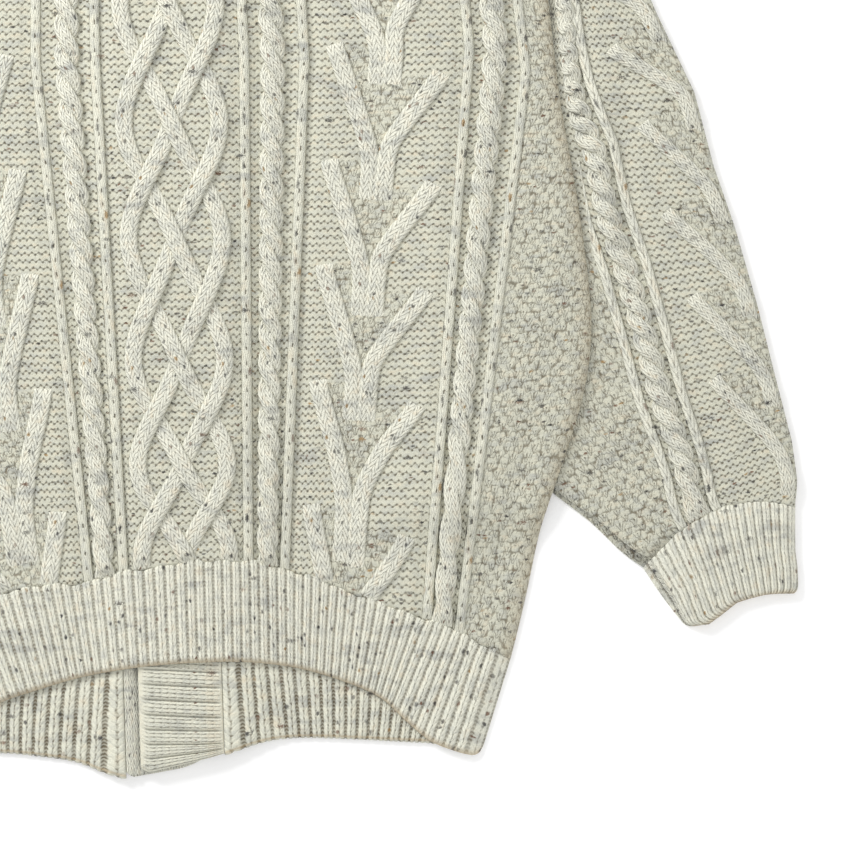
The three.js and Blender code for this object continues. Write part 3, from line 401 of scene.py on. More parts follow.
def knit(bm, points, stitches, closed_along=False, side=1):
    """Adds a tube of knitting: a grid with its corners at points[section][place round], in mm.
    stitches holds for each corner its wale, its course and its share of moss stitch, or above 1 how
    much tan painted shade its edge takes where it rolls away. closed_along joins the last section to
    the first, and side is -1 for the left one of a pair."""
    if closed_along:
        points = np.concatenate([points, points[:1]])
        stitches = np.concatenate([stitches, stitches[:1]])
    sections, places = points.shape[:2]
    made = bmesh.ops.create_grid(bm, x_segments=places, y_segments=sections - 1, size=0.5)["verts"]
    layer = bm.verts.layers.float_vector["stitch"]
    corners = ((points * (side, 1, 1) + (0, SHIFT_Y, 0)) * MM).reshape(-1, 3).tolist()
    marks = stitches.reshape(-1, 3).tolist()
    width = places + 1
    for number, vert in enumerate(made):
        section, place = divmod(number, width)
        corner = section * places + place % places
        vert.co = corners[corner]
        vert[layer] = marks[corner]
    weld = {made[section * width + places]: made[section * width] for section in range(sections)}
    if closed_along:
        last = (sections - 1) * width
        weld.update({made[last + place]: made[place % places] for place in range(width)})
        weld[made[places]] = made[0]
    bmesh.ops.weld_verts(bm, targetmap=weld)


def new_mesh():
    bm = bmesh.new()
    bm.verts.layers.float_vector.new("stitch")
    return bm


def finish_piece(name, bm, material, nodes=()):
    """Closes the ends of the mesh's tubes and hands it over as a piece that rides on the garment."""
    bmesh.ops.holes_fill(bm, edges=[edge for edge in bm.edges if edge.is_boundary], sides=0)
    bmesh.ops.recalc_face_normals(bm, faces=bm.faces)
    for face in bm.faces:
        face.smooth = len(face.verts) < 5
    bmesh.ops.triangulate(bm, faces=[face for face in bm.faces if len(face.verts) > 4])
    mesh = bpy.data.meshes.new(name)
    bm.to_mesh(mesh)
    bm.free()
    mesh.materials.append(material)
    piece = bpy.data.objects.new(name, mesh)
    bpy.context.scene.collection.objects.link(piece)
    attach(piece, "root")
    if nodes:
        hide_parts(*nodes)
    return piece


def finish_wall(name, outer, inner, material, node):
    """A panel as one closed wall: its outer face, then its inner one back the other way. Each is its
    points and its stitches."""
    bm = new_mesh()
    knit(bm, *(np.concatenate(parts, axis=1) for parts in zip(outer, inner)))
    return finish_piece(name, bm, material, [node])


def add_strand(bm, x, y, shape, ground, over=0.0, fade=1.0, stitch=COURSE, start=0.0,
               open_share=None, side=1):
    """Adds a raised strand along a plan line. ground gives the face it lies on, over how far it is
    lifted along its length, fade how much of its height is left there, and open_share how freely
    it stands up at a place. stitch is its stitches' length, and start where they begin."""
    run = np.concatenate([[0], np.cumsum(np.hypot(np.diff(x), np.diff(y)))])
    steps = max(int(run[-1] / STRAND_STEP), 4)
    at = np.linspace(0, run[-1], steps + 1)
    over = np.interp(at, run, np.broadcast_to(over, run.shape))
    fade = np.interp(at, run, np.broadcast_to(fade, run.shape))
    x, y = np.interp(at, run, x), np.interp(at, run, y)
    along_x, along_y = np.gradient(x), np.gradient(y)
    size = np.hypot(along_x, along_y)
    out_x, out_y = along_y / size, -along_x / size
    wales = shape["wales"]
    # its round top from side to side, then two columns that stay sunk in the face it lies on
    turns = np.linspace(-math.pi / 2, math.pi / 2, 4 * wales + 1)
    share = np.concatenate([np.sin(turns), [0.55, -0.55]])
    crown = np.concatenate([np.cos(turns) ** 0.5, [-0.35, -0.35]])
    offset = share * shape["half"]
    wide_x = x[:, None] + out_x[:, None] * offset
    wide_y = y[:, None] + out_y[:, None] * offset
    wale = (share + 1) / 2 * wales
    course = (start + at)[:, None] / stitch
    # where it is two stitches wide, each column of stitches is rounded again
    columns = 0.5 * abs(np.sin(math.pi * wale)) * (crown > 0.2) * (wales > 1)
    sunk = ease(at / SINK + 0.15)
    fade, over = fade * sunk, over * sunk
    height = (shape["rise"] * crown + columns) * fade[:, None] + over[:, None] - 0.3
    height = np.where(crown < 0, -0.9 + np.minimum(over[:, None], 0), height)
    if open_share is not None:
        height = mix(-0.8, height, open_share(wide_x, wide_y))
    points = stack(wide_x, wide_y, ground(wide_x, wide_y) + height)
    knit(bm, points, stack(wale + 0 * wide_x, course + 0 * wide_x, 0), side=side)


# ---- materials ---------------------------------------------------------------------------------

def colour(code):
    """An sRGB hex colour as linear values."""
    parts = [int(code[i:i + 2], 16) / 255 for i in (1, 3, 5)]
    return (*[p / 12.92 if p <= 0.04045 else ((p + 0.055) / 1.055) ** 2.4 for p in parts], 1)


def add(tree, kind, settings, *first, **named):
    """Adds a node with its settings, where a word alone is its operation. Its first inputs come in
    their order and others by name, each as a value, a socket, or a node whose output it takes."""
    made = tree.nodes.new("ShaderNode" + kind)
    for key, value in ({"operation": settings} if isinstance(settings, str) else settings).items():
        setattr(made, key, value)
    inputs = list(zip([socket for socket in made.inputs if socket.enabled], first))
    inputs += [(made.inputs[name.replace("_", " ")], value) for name, value in named.items()]
    for socket, value in inputs:
        if isinstance(value, bpy.types.Node):
            value = next(output for output in value.outputs if output.enabled)
        if isinstance(value, bpy.types.NodeSocket):
            tree.links.new(value, socket)
        else:
            socket.default_value = value
    return made


def new_material(name):
    made = bpy.data.materials.new(name)
    made.use_nodes = True
    made.node_tree.nodes.clear()
    return made, made.node_tree


CREAM = "#dddccb"
# painted light and shade: a darker cream for the sunk purl ground and a lighter one for the raised cables and
# ribs
SHADED_GROUND_CREAM = "#cdccba"
LIT_CABLE_CREAM = "#e3e2d2"
# painted shade: the dark tones the wool takes in the dips between its stitches
GROOVE_SHADE = "#545142"
WARM_GROOVE_SHADE = "#80745f"
GREY_HEATHER = "#b8bab2"
WARM_HEATHER = "#d9cbb0"
SOOTY_HEATHER = "#a3a5a1"
# painted shade: the tan the wool takes where an edge rolls away from the light
EDGE_SHADE_TAN = "#c2aa82"
NEPP_BLACK = "#2b292c"
NEPP_DYES = {0.4: "#5a5752", 0.7: "#6e4f3c", 0.92: "#a08256"}   # grey, rust and ochre, from these shares
HORN_DARK = "#3f2f22"
HORN_LIGHT = "#8a6c4a"

# A noise's scale is how many of its patches go into a metre.
WANDER = 230.0                # bends of the yarn, 4.3 mm
LUMPS = 190.0                 # thick and thin places in it, 5.3 mm
FIBRES = 1400.0               # tufts of fibre, 0.7 mm
BATCHES = 75.0                # uneven batches of fleece, 13 mm
TUFTS = 95.0                  # larger tufts of dyed fleece, 10.5 mm
STREAKS = 160.0               # streaks in the horn, 6 mm

MATH, VECTOR, MIX, RANGE, NOISE = "Math", "VectorMath", "Mix", "MapRange", "TexNoise"
SMOOTH = {"interpolation_type": "SMOOTHSTEP"}
FLAT = {"voronoi_dimensions": "2D"}
TINT = {"data_type": "RGBA"}
AS_IS = {}


def tweed_wool(name, surface, cream=CREAM, lean=2.3, legs=0.5, centre=0.55, line=0.35, dots=0.4,
               hole=0.26, groove_shade=0.8, furrow=0.14, beads=(0.05, 0.28)):
    """Thick tweed wool, spun from fleece of mixed tones with dyed nepps and knitted by hand: matt,
    slightly fuzzy, with painted shade where the yarn dips between stitches. surface is plain for V stitches,
    rib for V stitches with a purl furrow between them, or ground for purl and moss stitch. cream is
    the main tone, which the purl ground takes darker as painted shade and the cables and ribs lighter
    as painted light, and groove how dark the painted shade in its dips is. lean is how steeply the legs of a
    V stand, legs how high the yarn stays between two of them, centre how deep the middle of a V is and
    line where it starts. hole is how far along the stitch the small hole in its V starts, and dots
    how much of the depth is left between two holes. furrow is half the width of a furrow, and beads
    are the lowest and highest places in it. A stitch's third value above 1 paints tan shade on an edge
    that rolls away."""
    made, tree = new_material(name)
    stitch = add(tree, "Attribute", {"attribute_name": "stitch"}).outputs["Vector"]
    place = add(tree, "TexCoord", AS_IS).outputs["Object"]

    # the yarn wanders a little from its row
    loose_by = {"ground": 0.46, "plain": 0.34, "rib": 0.24}[surface]
    wander = add(tree, NOISE, AS_IS, Vector=place, Scale=WANDER, Detail=2.0)
    shift = add(tree, VECTOR, "MULTIPLY_ADD", wander.outputs["Color"], (loose_by, loose_by, 0),
                (-loose_by / 2, -loose_by / 2, 0))
    loose = add(tree, VECTOR, "ADD", stitch, shift)
    wale, course, moss = add(tree, "SeparateXYZ", AS_IS, loose).outputs

    # plain side: each stitch is a V of two leaning legs, with a small hole where the V opens
    across = add(tree, MATH, "PINGPONG", wale, 0.5)
    slope = add(tree, MATH, "MULTIPLY_ADD", across, lean, course)
    along = add(tree, MATH, "PINGPONG", slope, 0.5)
    leg = add(tree, RANGE, SMOOTH, along, -0.05, 0.28, legs, 1.0)
    middle = add(tree, RANGE, SMOOTH, across, line, 0.5, 0.0, centre)
    opening = add(tree, MATH, "PINGPONG", course, 0.5)
    opening = add(tree, RANGE, SMOOTH, opening, hole, hole + 0.15, dots, 1.0)
    dot = add(tree, MATH, "MULTIPLY", middle, opening)
    relief = add(tree, MATH, "SUBTRACT", leg, dot)
    between = add(tree, RANGE, SMOOTH, across, 0.0, 0.12, 0.4, 0.0)
    relief = add(tree, MATH, "SUBTRACT", relief, between)
    flow = (2.4, 1.2, 0)

    if surface == "rib":
        # the purl stitches down in the furrows show as small bumps
        bead = add(tree, MATH, "MULTIPLY_ADD", across, 1.2, course)
        bead = add(tree, MATH, "PINGPONG", bead, 0.25)
        bead = add(tree, RANGE, SMOOTH, bead, 0.02, 0.2, *beads)
        deep = add(tree, RANGE, SMOOTH, across, furrow, furrow * 0.4, 0.0, 1.0)
        relief = add(tree, MIX, AS_IS, deep, relief, bead)
        even = add(tree, RANGE, AS_IS, moss, -1.0, 0.0, 1.0, 0.0)
        relief = add(tree, MIX, AS_IS, even, relief, 0.85)
    if surface == "ground":
        # purl side: each row is a wavy line of loops, and the gap below it is deepest at its turns, where its
        # painted shade is darkest
        wave = add(tree, MATH, "MULTIPLY", wale, 2 * math.pi)
        wave = add(tree, MATH, "SINE", wave)
        fall = add(tree, MATH, "MULTIPLY_ADD", wave, 0.17, course)
        fall = add(tree, MATH, "PINGPONG", fall, 0.5)
        gap = add(tree, RANGE, SMOOTH, fall, 0.0, 0.25, 1.0, 0.0)
        turn = add(tree, MATH, "MULTIPLY", wave, wave)
        depth = add(tree, MATH, "MULTIPLY_ADD", turn, 0.6, 0.5)
        purl = add(tree, MATH, "MULTIPLY", gap, depth)
        purl = add(tree, MATH, "SUBTRACT", 1.0, purl)
        # moss stitch: purl and plain stitches take turns both ways
        turns = [add(tree, MATH, "SINE", add(tree, MATH, "MULTIPLY", way, math.pi)) for way in (wale, course)]
        check = add(tree, MATH, "MULTIPLY", *turns)
        check = add(tree, RANGE, SMOOTH, check, -0.2, 0.2, 0.0, 1.0)
        pebble = add(tree, "TexVoronoi", FLAT, Vector=loose, Scale=1.5, Randomness=0.7)
        pebble = add(tree, RANGE, SMOOTH, pebble, 0.32, 0.86, 1.0, 0.1)
        bumps = add(tree, MIX, AS_IS, check, 0.95, relief)
        bumps = add(tree, MATH, "MULTIPLY", bumps, pebble)
        relief = add(tree, MIX, AS_IS, moss, purl, bumps)
        flow = (1.1, 2.4, 0)

    # two plies twisted into the yarn, and its fibres
    fibre = add(tree, NOISE, AS_IS, Vector=place, Scale=FIBRES, Detail=2.0)
    rough = add(tree, MATH, "MULTIPLY_ADD", fibre, 0.5, relief)
    lump = add(tree, NOISE, AS_IS, Vector=place, Scale=LUMPS, Detail=2.0)
    rough = add(tree, MATH, "MULTIPLY_ADD", lump, 0.8, rough)
    raised = add(tree, "Bump", AS_IS, Strength=0.9, Distance=1.1 * MM, Height=rough)

    # tones: heathered in streaks along the yarn, sootier in some batches of fleece
    streak = add(tree, VECTOR, "MULTIPLY", loose, flow)
    heather = add(tree, NOISE, {"noise_dimensions": "2D"}, Vector=streak, Scale=0.45, Detail=4.0,
                  Roughness=0.6)
    grey = add(tree, RANGE, AS_IS, heather, 0.5, 0.75, 0.0, 0.65)
    warm = add(tree, RANGE, AS_IS, heather, 0.44, 0.25, 0.0, 0.5)
    tone = add(tree, MIX, TINT, grey, colour(cream), colour(GREY_HEATHER))
    tone = add(tree, MIX, TINT, warm, tone, colour(WARM_HEATHER))
    batch = add(tree, VECTOR, "MULTIPLY", place, (0.6, 1.5, 1.0))
    batch = add(tree, NOISE, AS_IS, Vector=batch, Scale=BATCHES, Detail=3.0, Roughness=0.6)
    sooty = add(tree, RANGE, SMOOTH, batch, 0.5, 0.74, 0.0, 0.6)
    tone = add(tree, MIX, TINT, sooty, tone, colour(SOOTY_HEATHER))

    # painted shade: dark in the dips between stitches, and tan where an edge rolls away; then uneven in its
    # fibres
    dark = add(tree, MIX, TINT, lump, colour(GROOVE_SHADE), colour(WARM_GROOVE_SHADE))
    deep_tone = add(tree, RANGE, AS_IS, batch, 0.32, 0.66, 0.78, 1.25)
    # painted shade: the deeper a place lies in its stitch, the more of the dark tone it takes
    dip_shade = add(tree, RANGE, SMOOTH, relief, 0.0, 0.8, groove_shade, 0.0)
    dip_shade = add(tree, MATH, {"operation": "MULTIPLY", "use_clamp": True}, dip_shade, deep_tone)
    tone = add(tree, MIX, TINT, dip_shade, tone, dark)
    # painted shade: a third value above 1 tints a rolled edge tan
    edge_shade = add(tree, RANGE, AS_IS, moss, 1.1, 2.0, 0.0, 0.6)
    tone = add(tree, MIX, TINT, edge_shade, tone, colour(EDGE_SHADE_TAN))
    spun = add(tree, RANGE, AS_IS, fibre, 0.3, 0.7, 0.88, 1.1)
    tone = add(tree, MIX, {"data_type": "RGBA", "blend_type": "MULTIPLY"}, 1.0, tone, spun)

    # nepps of dyed fleece: thin streaks spun into the yarn, and a few larger tufts
    tuft = add(tree, VECTOR, "MULTIPLY", place, (0.65, 1.35, 1.0))
    for way, size, rarity, reach in ((streak, 1.0, 0.93, 0.5), (tuft, TUFTS, 0.955, 0.22)):
        spots = add(tree, "TexVoronoi", FLAT, Vector=way, Scale=size)
        lot, dye = add(tree, "SeparateColor", AS_IS, spots.outputs["Color"]).outputs[:2]
        few = add(tree, RANGE, AS_IS, lot, rarity, 1.0, 0.0, 1.0)
        some = add(tree, MATH, "POWER", few, 0.5)
        ragged = add(tree, MATH, "MULTIPLY_ADD", fibre, 0.7, -0.35)
        ragged = add(tree, MATH, "ADD", spots, ragged)
        near = add(tree, RANGE, AS_IS, ragged, reach, reach * 0.4, 0.0, 0.95)
        fleck = add(tree, MATH, "MULTIPLY", some, near)
        dyes = add(tree, "ValToRGB", AS_IS, dye)
        dyes.color_ramp.interpolation = "CONSTANT"
        dyes.color_ramp.elements.remove(dyes.color_ramp.elements[1])
        dyes.color_ramp.elements[0].color = colour(NEPP_BLACK)
        for position, code in NEPP_DYES.items():
            dyes.color_ramp.elements.new(position).color = colour(code)
        tone = add(tree, MIX, TINT, fleck, tone, dyes)

    wool = add(tree, "BsdfPrincipled", AS_IS, Base_Color=tone, Roughness=0.95, Specular_IOR_Level=0.2,
               Sheen_Weight=0.1, Sheen_Roughness=0.6, Normal=raised)
    add(tree, "OutputMaterial", AS_IS, wool)
    return made


def polished_horn():
    """Horn sawn into discs and softly polished, with brown streaks."""
    made, tree = new_material("polished_horn")
    place = add(tree, "TexCoord", AS_IS).outputs["Object"]
    streaks = add(tree, NOISE, AS_IS, Vector=place, Scale=STREAKS, Detail=4.0)
    tone = add(tree, MIX, TINT, streaks, colour(HORN_DARK), colour(HORN_LIGHT))
    horn = add(tree, "BsdfPrincipled", AS_IS, Base_Color=tone, Roughness=0.35)
    add(tree, "OutputMaterial", AS_IS, horn)
    return made


def white_paper():
    """A matt white ground, lit so evenly that only contact shadows show on it."""
    made, tree = new_material("white_paper")
    paper = add(tree, "BsdfPrincipled", AS_IS, Base_Color=(0.95, 0.95, 0.95, 1), Roughness=0.9,
                Emission_Color=(1, 1, 1, 1), Emission_Strength=0.13)
    add(tree, "OutputMaterial", AS_IS, paper)
    return made


# One wool throughout: the pieces differ in how their stitches lie, in how dark the painted shade in their
# dips is, and in their cream, painted darker on the purl ground as shade and lighter on the cables and ribs
# as light.
GROUND_WOOL = tweed_wool("tweed_wool_purl_and_moss", "ground", cream=SHADED_GROUND_CREAM, legs=0.3)
CABLE_WOOL = tweed_wool("tweed_wool_cables", "plain", cream=LIT_CABLE_CREAM, lean=2.7, legs=0.42, centre=0.6,
                        groove_shade=0.62)
LADDER_WOOL = tweed_wool("tweed_wool_ladders", "plain", lean=5.0, legs=0.6, centre=1.0, line=0.37, dots=0.1,
                         hole=0.3)
RIB_WOOL = tweed_wool("tweed_wool_ribs", "rib", legs=0.62, centre=0.7, line=0.38, dots=0.9, groove_shade=0.75,
                      furrow=0.15)
HEM_WOOL = tweed_wool("tweed_wool_wide_ribs", "rib", cream=LIT_CABLE_CREAM, legs=0.66, centre=0.62, line=0.4,
                      dots=0.8, groove_shade=0.74, furrow=0.2, beads=(0.16, 0.42))
CUFF_WOOL = tweed_wool("tweed_wool_close_ribs", "rib", cream=LIT_CABLE_CREAM, legs=0.72, centre=0.6, line=0.4,
                       dots=0.85, groove_shade=0.62, furrow=0.12, beads=(0.1, 0.34))
# painted shade: the front hems lie under the back's hem, so their dips take a darker painted shade
SHADED_RIB_WOOL = tweed_wool("tweed_wool_shaded_ribs", "rib", legs=0.62, centre=0.66, line=0.39, dots=0.8,
                           groove_shade=0.9, furrow=0.2, beads=(0.04, 0.36))


# ---- back --------------------------------------------------------------------------------------

BRAID_STEP, PATTERN_STEP = 2.75, 2.7    # spacing of the wall's columns
FIRST_PURL = 46.5             # the first column outside the braid
SIDE_COLUMNS = 40             # the moss stitch beside the pattern, in columns
BACK_ROWS = 254
VALLEY_HALF = 3.8
EDGE_SHADE_WIDTH = 16               # of the side edge, where the wool takes tan painted shade as it rolls round
MOSS_TOP, MOSS_FOOT = 2, 96   # how far below an arm's tip its moss stitch starts and ends


def moss_share(column, row):
    """Where the branch panel is moss stitch: between the arms of each branch."""
    from_stem = abs(column) - STEM_AT
    moss = np.zeros(np.broadcast(column, row).shape)
    for inner, outer in zip(BRANCHES["inner"], BRANCHES["outer"]):
        down = np.where(from_stem < 0, inner, outer) - row
        reach = np.where(from_stem < 0, smooth(INNER_ARM, "down", "out", down),
                         smooth(OUTER_ARM, "down", "out", down))
        between = (down > MOSS_TOP) & (down < MOSS_FOOT) & (abs(from_stem) < reach)
        moss = np.where(between, 1.0, moss)
    return np.where(abs(column) > PATTERN_END, 1.0, moss)


INNER_INSETS = np.array([5.2, 5.6, 9, 25, 45, 68, 90, 115, 140])
INNER_MIDDLE = np.array([78, 50, 23, 5, -12, -37, -62, -86.0])
INNER_ROLL = [3.3, 1.4]       # how far its outermost columns drop


def inner_drops(count):
    return np.concatenate([INNER_ROLL, np.zeros(count - 4), INNER_ROLL[::-1]])


def inner_x(y):
    """The columns of the back's inner face, from its right edge to its left one."""
    count = len(INNER_INSETS)
    right = edge_x(y[:, :count]) - INNER_INSETS
    left = INNER_INSETS[::-1] - edge_x(y[:, -count:])
    return np.concatenate([right, np.broadcast_to(INNER_MIDDLE, (len(y), len(INNER_MIDDLE))), left], axis=1)


def make_back():
    """The back's wall, from its left edge over the pattern to its right one, and back inside."""
    pattern = np.concatenate([np.arange(0, BRAID_HALF + 2, BRAID_STEP),
                              np.arange(FIRST_PURL, PATTERN_END, PATTERN_STEP), [PATTERN_END]])
    side_shares = np.linspace(0, 1, 17)[1:-1]
    flat, roll = len(pattern) + len(side_shares), len(ROLL_OUTSIDE["inset"])
    side_part = SIDE_COLUMNS * np.concatenate([side_shares, np.ones(roll)])
    column = np.concatenate([pattern, PATTERN_END + side_part])
    share = np.concatenate([np.zeros(len(pattern)), side_shares, np.ones(roll)])
    inset = np.concatenate([np.full(flat, ROLL_START), ROLL_OUTSIDE["inset"]])
    drop = np.concatenate([np.zeros(flat), ROLL_OUTSIDE["drop"]])
    in_pattern = np.arange(len(column)) < len(pattern)
    side = np.concatenate([-np.ones(len(column)), np.ones(len(column) - 1)])
    column, share, inset, drop, in_pattern = (
        np.concatenate([values[::-1], values[1:]]) for values in (column, share, inset, drop, in_pattern))

    def x_at(y):
        beyond = np.where(inset < ROLL_START, edge_x(y) - inset,
                          mix(column_x(PATTERN_END, y), edge_x(y) - ROLL_START, share))
        return side * np.where(in_pattern > 0, abs(column_x(column, y)), beyond)

    rows = np.linspace(HEM_ROW, LAST_ROW, BACK_ROWS)[:, None]
    x, y = settle(x_at, lambda x: row_y(rows, x), (len(rows), len(column)))
    valley = sum(np.exp(-(((abs(column) - at) / VALLEY_HALF) ** 2)) for at in VALLEYS_AT)
    z = lift(x, y) + BACK_FACE + creases(BACK_CREASES, x, y) - drop - VALLEY * valley
    # the stitches are counted on round the rolled edge
    round_edge = np.hypot(np.diff(inset, prepend=inset[0]), np.diff(drop, prepend=drop[0]))
    round_edge = np.where(share > 0.999, round_edge, 0)
    half = len(column) // 2
    round_edge = np.concatenate([np.cumsum(round_edge[:half][::-1])[::-1], np.cumsum(round_edge[half:])])
    beyond = np.minimum(abs(x), edge_x(y) - ROLL_START) - column_x(PATTERN_END, y)
    side_wale = PATTERN_END / WALE + (beyond + round_edge) / SIDE_WALE
    wale = side * np.where(column > PATTERN_END, side_wale, column / WALE)
    # painted shade: tan towards the side edge, where the wall rolls round
    edge_shade = 0.45 * np.clip(1 - (edge_x(y) - abs(x)) / EDGE_SHADE_WIDTH, 0, 1)
    stitches = stack(wale, mix(rows, y, LEVEL_ROWS) / COURSE, moss_share(column, rows) + edge_shade)
    outer = stack(x, y, z), stitches

    count = 2 * len(INNER_INSETS) + len(INNER_MIDDLE)
    x, y = settle(inner_x, lambda x: row_y(rows, x), (len(rows), count))
    inner = stack(x, y, lift(x, y) + BACK_UNDER - inner_drops(count)), stack(x / WALE, rows / COURSE, 0)
    return finish_wall("back_ground", outer, inner, GROUND_WOOL, "back")


def column_line(column, row):
    """The plan line of a strand that follows pattern columns up the rows."""
    return settle(lambda y: column_x(column, y), lambda x: row_y(row, x), row.shape)


def make_braid():
    """Four strands plaited: the middle pair crosses one way, then the outer pairs the other way."""
    bm = new_mesh()
    row = np.arange(HEM_ROW + 0.5, LAST_ROW - 0.5, 1.0)
    for strand in range(4):
        place = 2 * (smooth(BRAID_CROSSINGS, "y", "turn", row) + strand)
        crossing = np.round(place)
        column = BRAID_REACH * np.cos(math.pi * place / 4) + BRAID_SQUARE * np.cos(0.75 * math.pi * place)
        over = OVERPASS * BRAID_OVER[crossing.astype(int) % 8] * np.cos(math.pi * (place - crossing))
        x, y = column_line(column, row)
        add_strand(bm, x, y, BRAID_STRAND, back_z, over, start=strand * 2.3)
    return finish_piece("back_braid", bm, CABLE_WOOL)


def make_ropes():
    bm = new_mesh()
    row = np.arange(HEM_ROW + 0.5, LAST_ROW - 0.5, 1.0)
    for side in (-1, 1):
        for at in ROPES_AT:
            for half_turn in (0, math.pi):
                turn = math.pi * row / ROPE_TURN + half_turn + at
                x, y = column_line(side * at + ROPE_SWING * np.cos(turn), row)
                add_strand(bm, x, y, ROPE_STRAND, back_z, ROPE_OVERPASS * np.sin(turn), start=half_turn)
    return finish_piece("back_ropes", bm, CABLE_WOOL)


def make_ladders():
    bm = new_mesh()
    row = np.arange(HEM_ROW + 0.5, LAST_ROW - 0.5, 2.0)
    for side in (-1, 1):
        for at in LADDERS_AT:
            x, y = column_line(np.full_like(row, side * at), row)
            add_strand(bm, x, y, LADDER_STRAND, back_z, stitch=LADDER_STITCH, start=at)
    return finish_piece("back_ladders", bm, LADDER_WOOL)


def make_branches():
    """Two arms that grow out of each stem, one above the other up the panel."""
    bm = new_mesh()
    for side in (-1, 1):
        for inner, outer in zip(BRANCHES["inner"], BRANCHES["outer"]):
            foot = inner - BRANCH_LENGTH
            for top, out, arm in ((inner, -1, INNER_ARM), (outer, 1, OUTER_ARM)):
                row = np.linspace(max(foot, HEM_ROW + 0.5), top, 90)
                x, y = column_line(side * (STEM_AT + out * smooth(arm, "down", "out", top - row)), row)
                fade = ease((row - foot) / 30) * ease((top - row) / 8 + 0.2)
                over = 0.4 * out * ease((foot + 45 - row) / 30)
                add_strand(bm, x, y, ARM_STRAND, back_z, over * fade, fade, start=top)
    return finish_piece("back_branches", bm, CABLE_WOOL)


def rib_rise(phase, rise):
    """Rounded ribs with narrow furrows between them, one to each whole number of phase."""
    return rise * np.clip(np.sin(math.pi * (phase % 1)), 0, 1) ** 0.7


RIB_RISE = 1.6
FRONT_RIB_RISE = 1.9
RIB_STEPS = 8                 # columns of the mesh to a rib
HEM_EDGE_HEIGHTS = [0, 0.008, 0.022, 0.045]    # rows that round off a free edge
HEM_EDGE_DROPS = [1.5, 0.7, 0.25, 0]
HEM_END_HEIGHTS = [1.0, 1.012, 1.026, 1.036]  # and rows that run up over the seam above
HEM_END_DROPS = [0, 0.35, 1.5, 3.2]
HEM_CORNER = 3.5              # how far its low corners are rounded up
HEM_ROLL_FROM = 3             # the hem's edge rolls from this place in the table of the back's
HEM_INSIDE_WALE = 6.5
LOWEST = 0.1                  # its outer face stays this far above the surface
HEM_INSIDE = [0.977, 0.975, 0.96, 0.89, 0.8, 0.7, 0.6, 0.5, 0.4, 0.34, 0.22, 0.1, 0.02, -0.05, -0.16, -0.27,
              -0.4, -0.5, -0.6, -0.7, -0.8, -0.89, -0.96, -0.975, -0.977]    # shares out of its columns


def hem_point(share, height):
    """A point of the back's hem, by the share out from the middle and up its height."""
    lean = np.where(share > 0, *(straight(HEM_LEAN, "share", key, abs(share)) for key in ("right", "left")))
    low = share - np.sign(share) * lean
    low_x = np.sign(share) * by_side(low, HEM_RIGHT, HEM_LEFT, "share", "lowX")
    top_x = np.sign(share) * by_side(share, HEM_RIGHT, HEM_LEFT, "share", "topX")
    low_y = by_side(low, HEM_RIGHT, HEM_LEFT, "share", "lowY")
    top_y = by_side(share, HEM_RIGHT, HEM_LEFT, "share", "topY")
    corner = HEM_CORNER * np.clip(abs(share) * 40 - 39, 0, 1) ** 2 * np.clip(1 - height / 0.12, 0, 1)
    return mix(low_x, top_x, height), mix(low_y, top_y, height) + corner


def make_back_hem():
    ribbed, *ends = 1 - np.array(ROLL_OUTSIDE["inset"][HEM_ROLL_FROM:]) / HEM_LENGTH
    drops = ROLL_OUTSIDE["drop"][HEM_ROLL_FROM + 1:]
    flat = np.zeros(len(ends))
    left, right = -HEM_RIBS["left"], HEM_RIBS["right"]
    phase = np.linspace(left, right, (right - left) * RIB_STEPS + 1)
    middle = np.interp(phase, [left, 0, right], [-ribbed, 0, ribbed])
    share = np.concatenate([-np.array(ends[::-1]), middle, ends])
    drop = np.concatenate([drops[::-1], 0 * phase, drops])
    rise = np.concatenate([flat, rib_rise(phase, RIB_RISE), flat])
    past = 0.2 * np.arange(1, len(ends) + 1)
    wale = np.concatenate([left - past[::-1], phase, right + past])
    height = np.concatenate([HEM_EDGE_HEIGHTS, np.linspace(0.07, 1, 26), HEM_END_HEIGHTS[1:]])[:, None]
    round_off = np.interp(height, HEM_EDGE_HEIGHTS, HEM_EDGE_DROPS)
    round_off = round_off + np.interp(height, HEM_END_HEIGHTS, HEM_END_DROPS)
    x, y = hem_point(share + 0 * height, height)
    # the seam above wanders a little
    y = y + (1.0 * np.sin(wale * 1.9) + 0.9 * np.sin(wale * 0.9 + 1)) * ease((height - 0.9) / 0.1)
    z = lift(x, y) + BACK_FACE + rise - drop - round_off + creases(BACK_CREASES, x, y)
    z = z - rise * ease((HEM_EDGE_HEIGHTS[3] - height) / HEM_EDGE_HEIGHTS[3])
    course = height * HEM_ROW / COURSE
    # painted shade: tan along the free edge, where it rounds off
    edge_shade = np.interp(height, [0, 0.02, 0.07], [2, 1.7, 1])
    outer = stack(x, y, np.maximum(z, LOWEST)), stack(wale, course, edge_shade)
    x, y = hem_point(HEM_INSIDE + 0 * height, height)
    z = lift(x, y) + BACK_UNDER - inner_drops(len(HEM_INSIDE))
    z = z + 0.4 * np.minimum(round_off, HEM_EDGE_DROPS[0])
    inner = stack(x, y, z), stack(x / HEM_INSIDE_WALE, course, 0)
    return finish_wall("back_hem_rib", outer, inner, HEM_WOOL, "back_hem")


# ---- fronts and their hems ---------------------------------------------------------------------

def seam_x(side):
    return BUTTON_BAND["right"] + SEAM if side > 0 else -(BUTTONHOLE_BAND["left"] - SEAM)


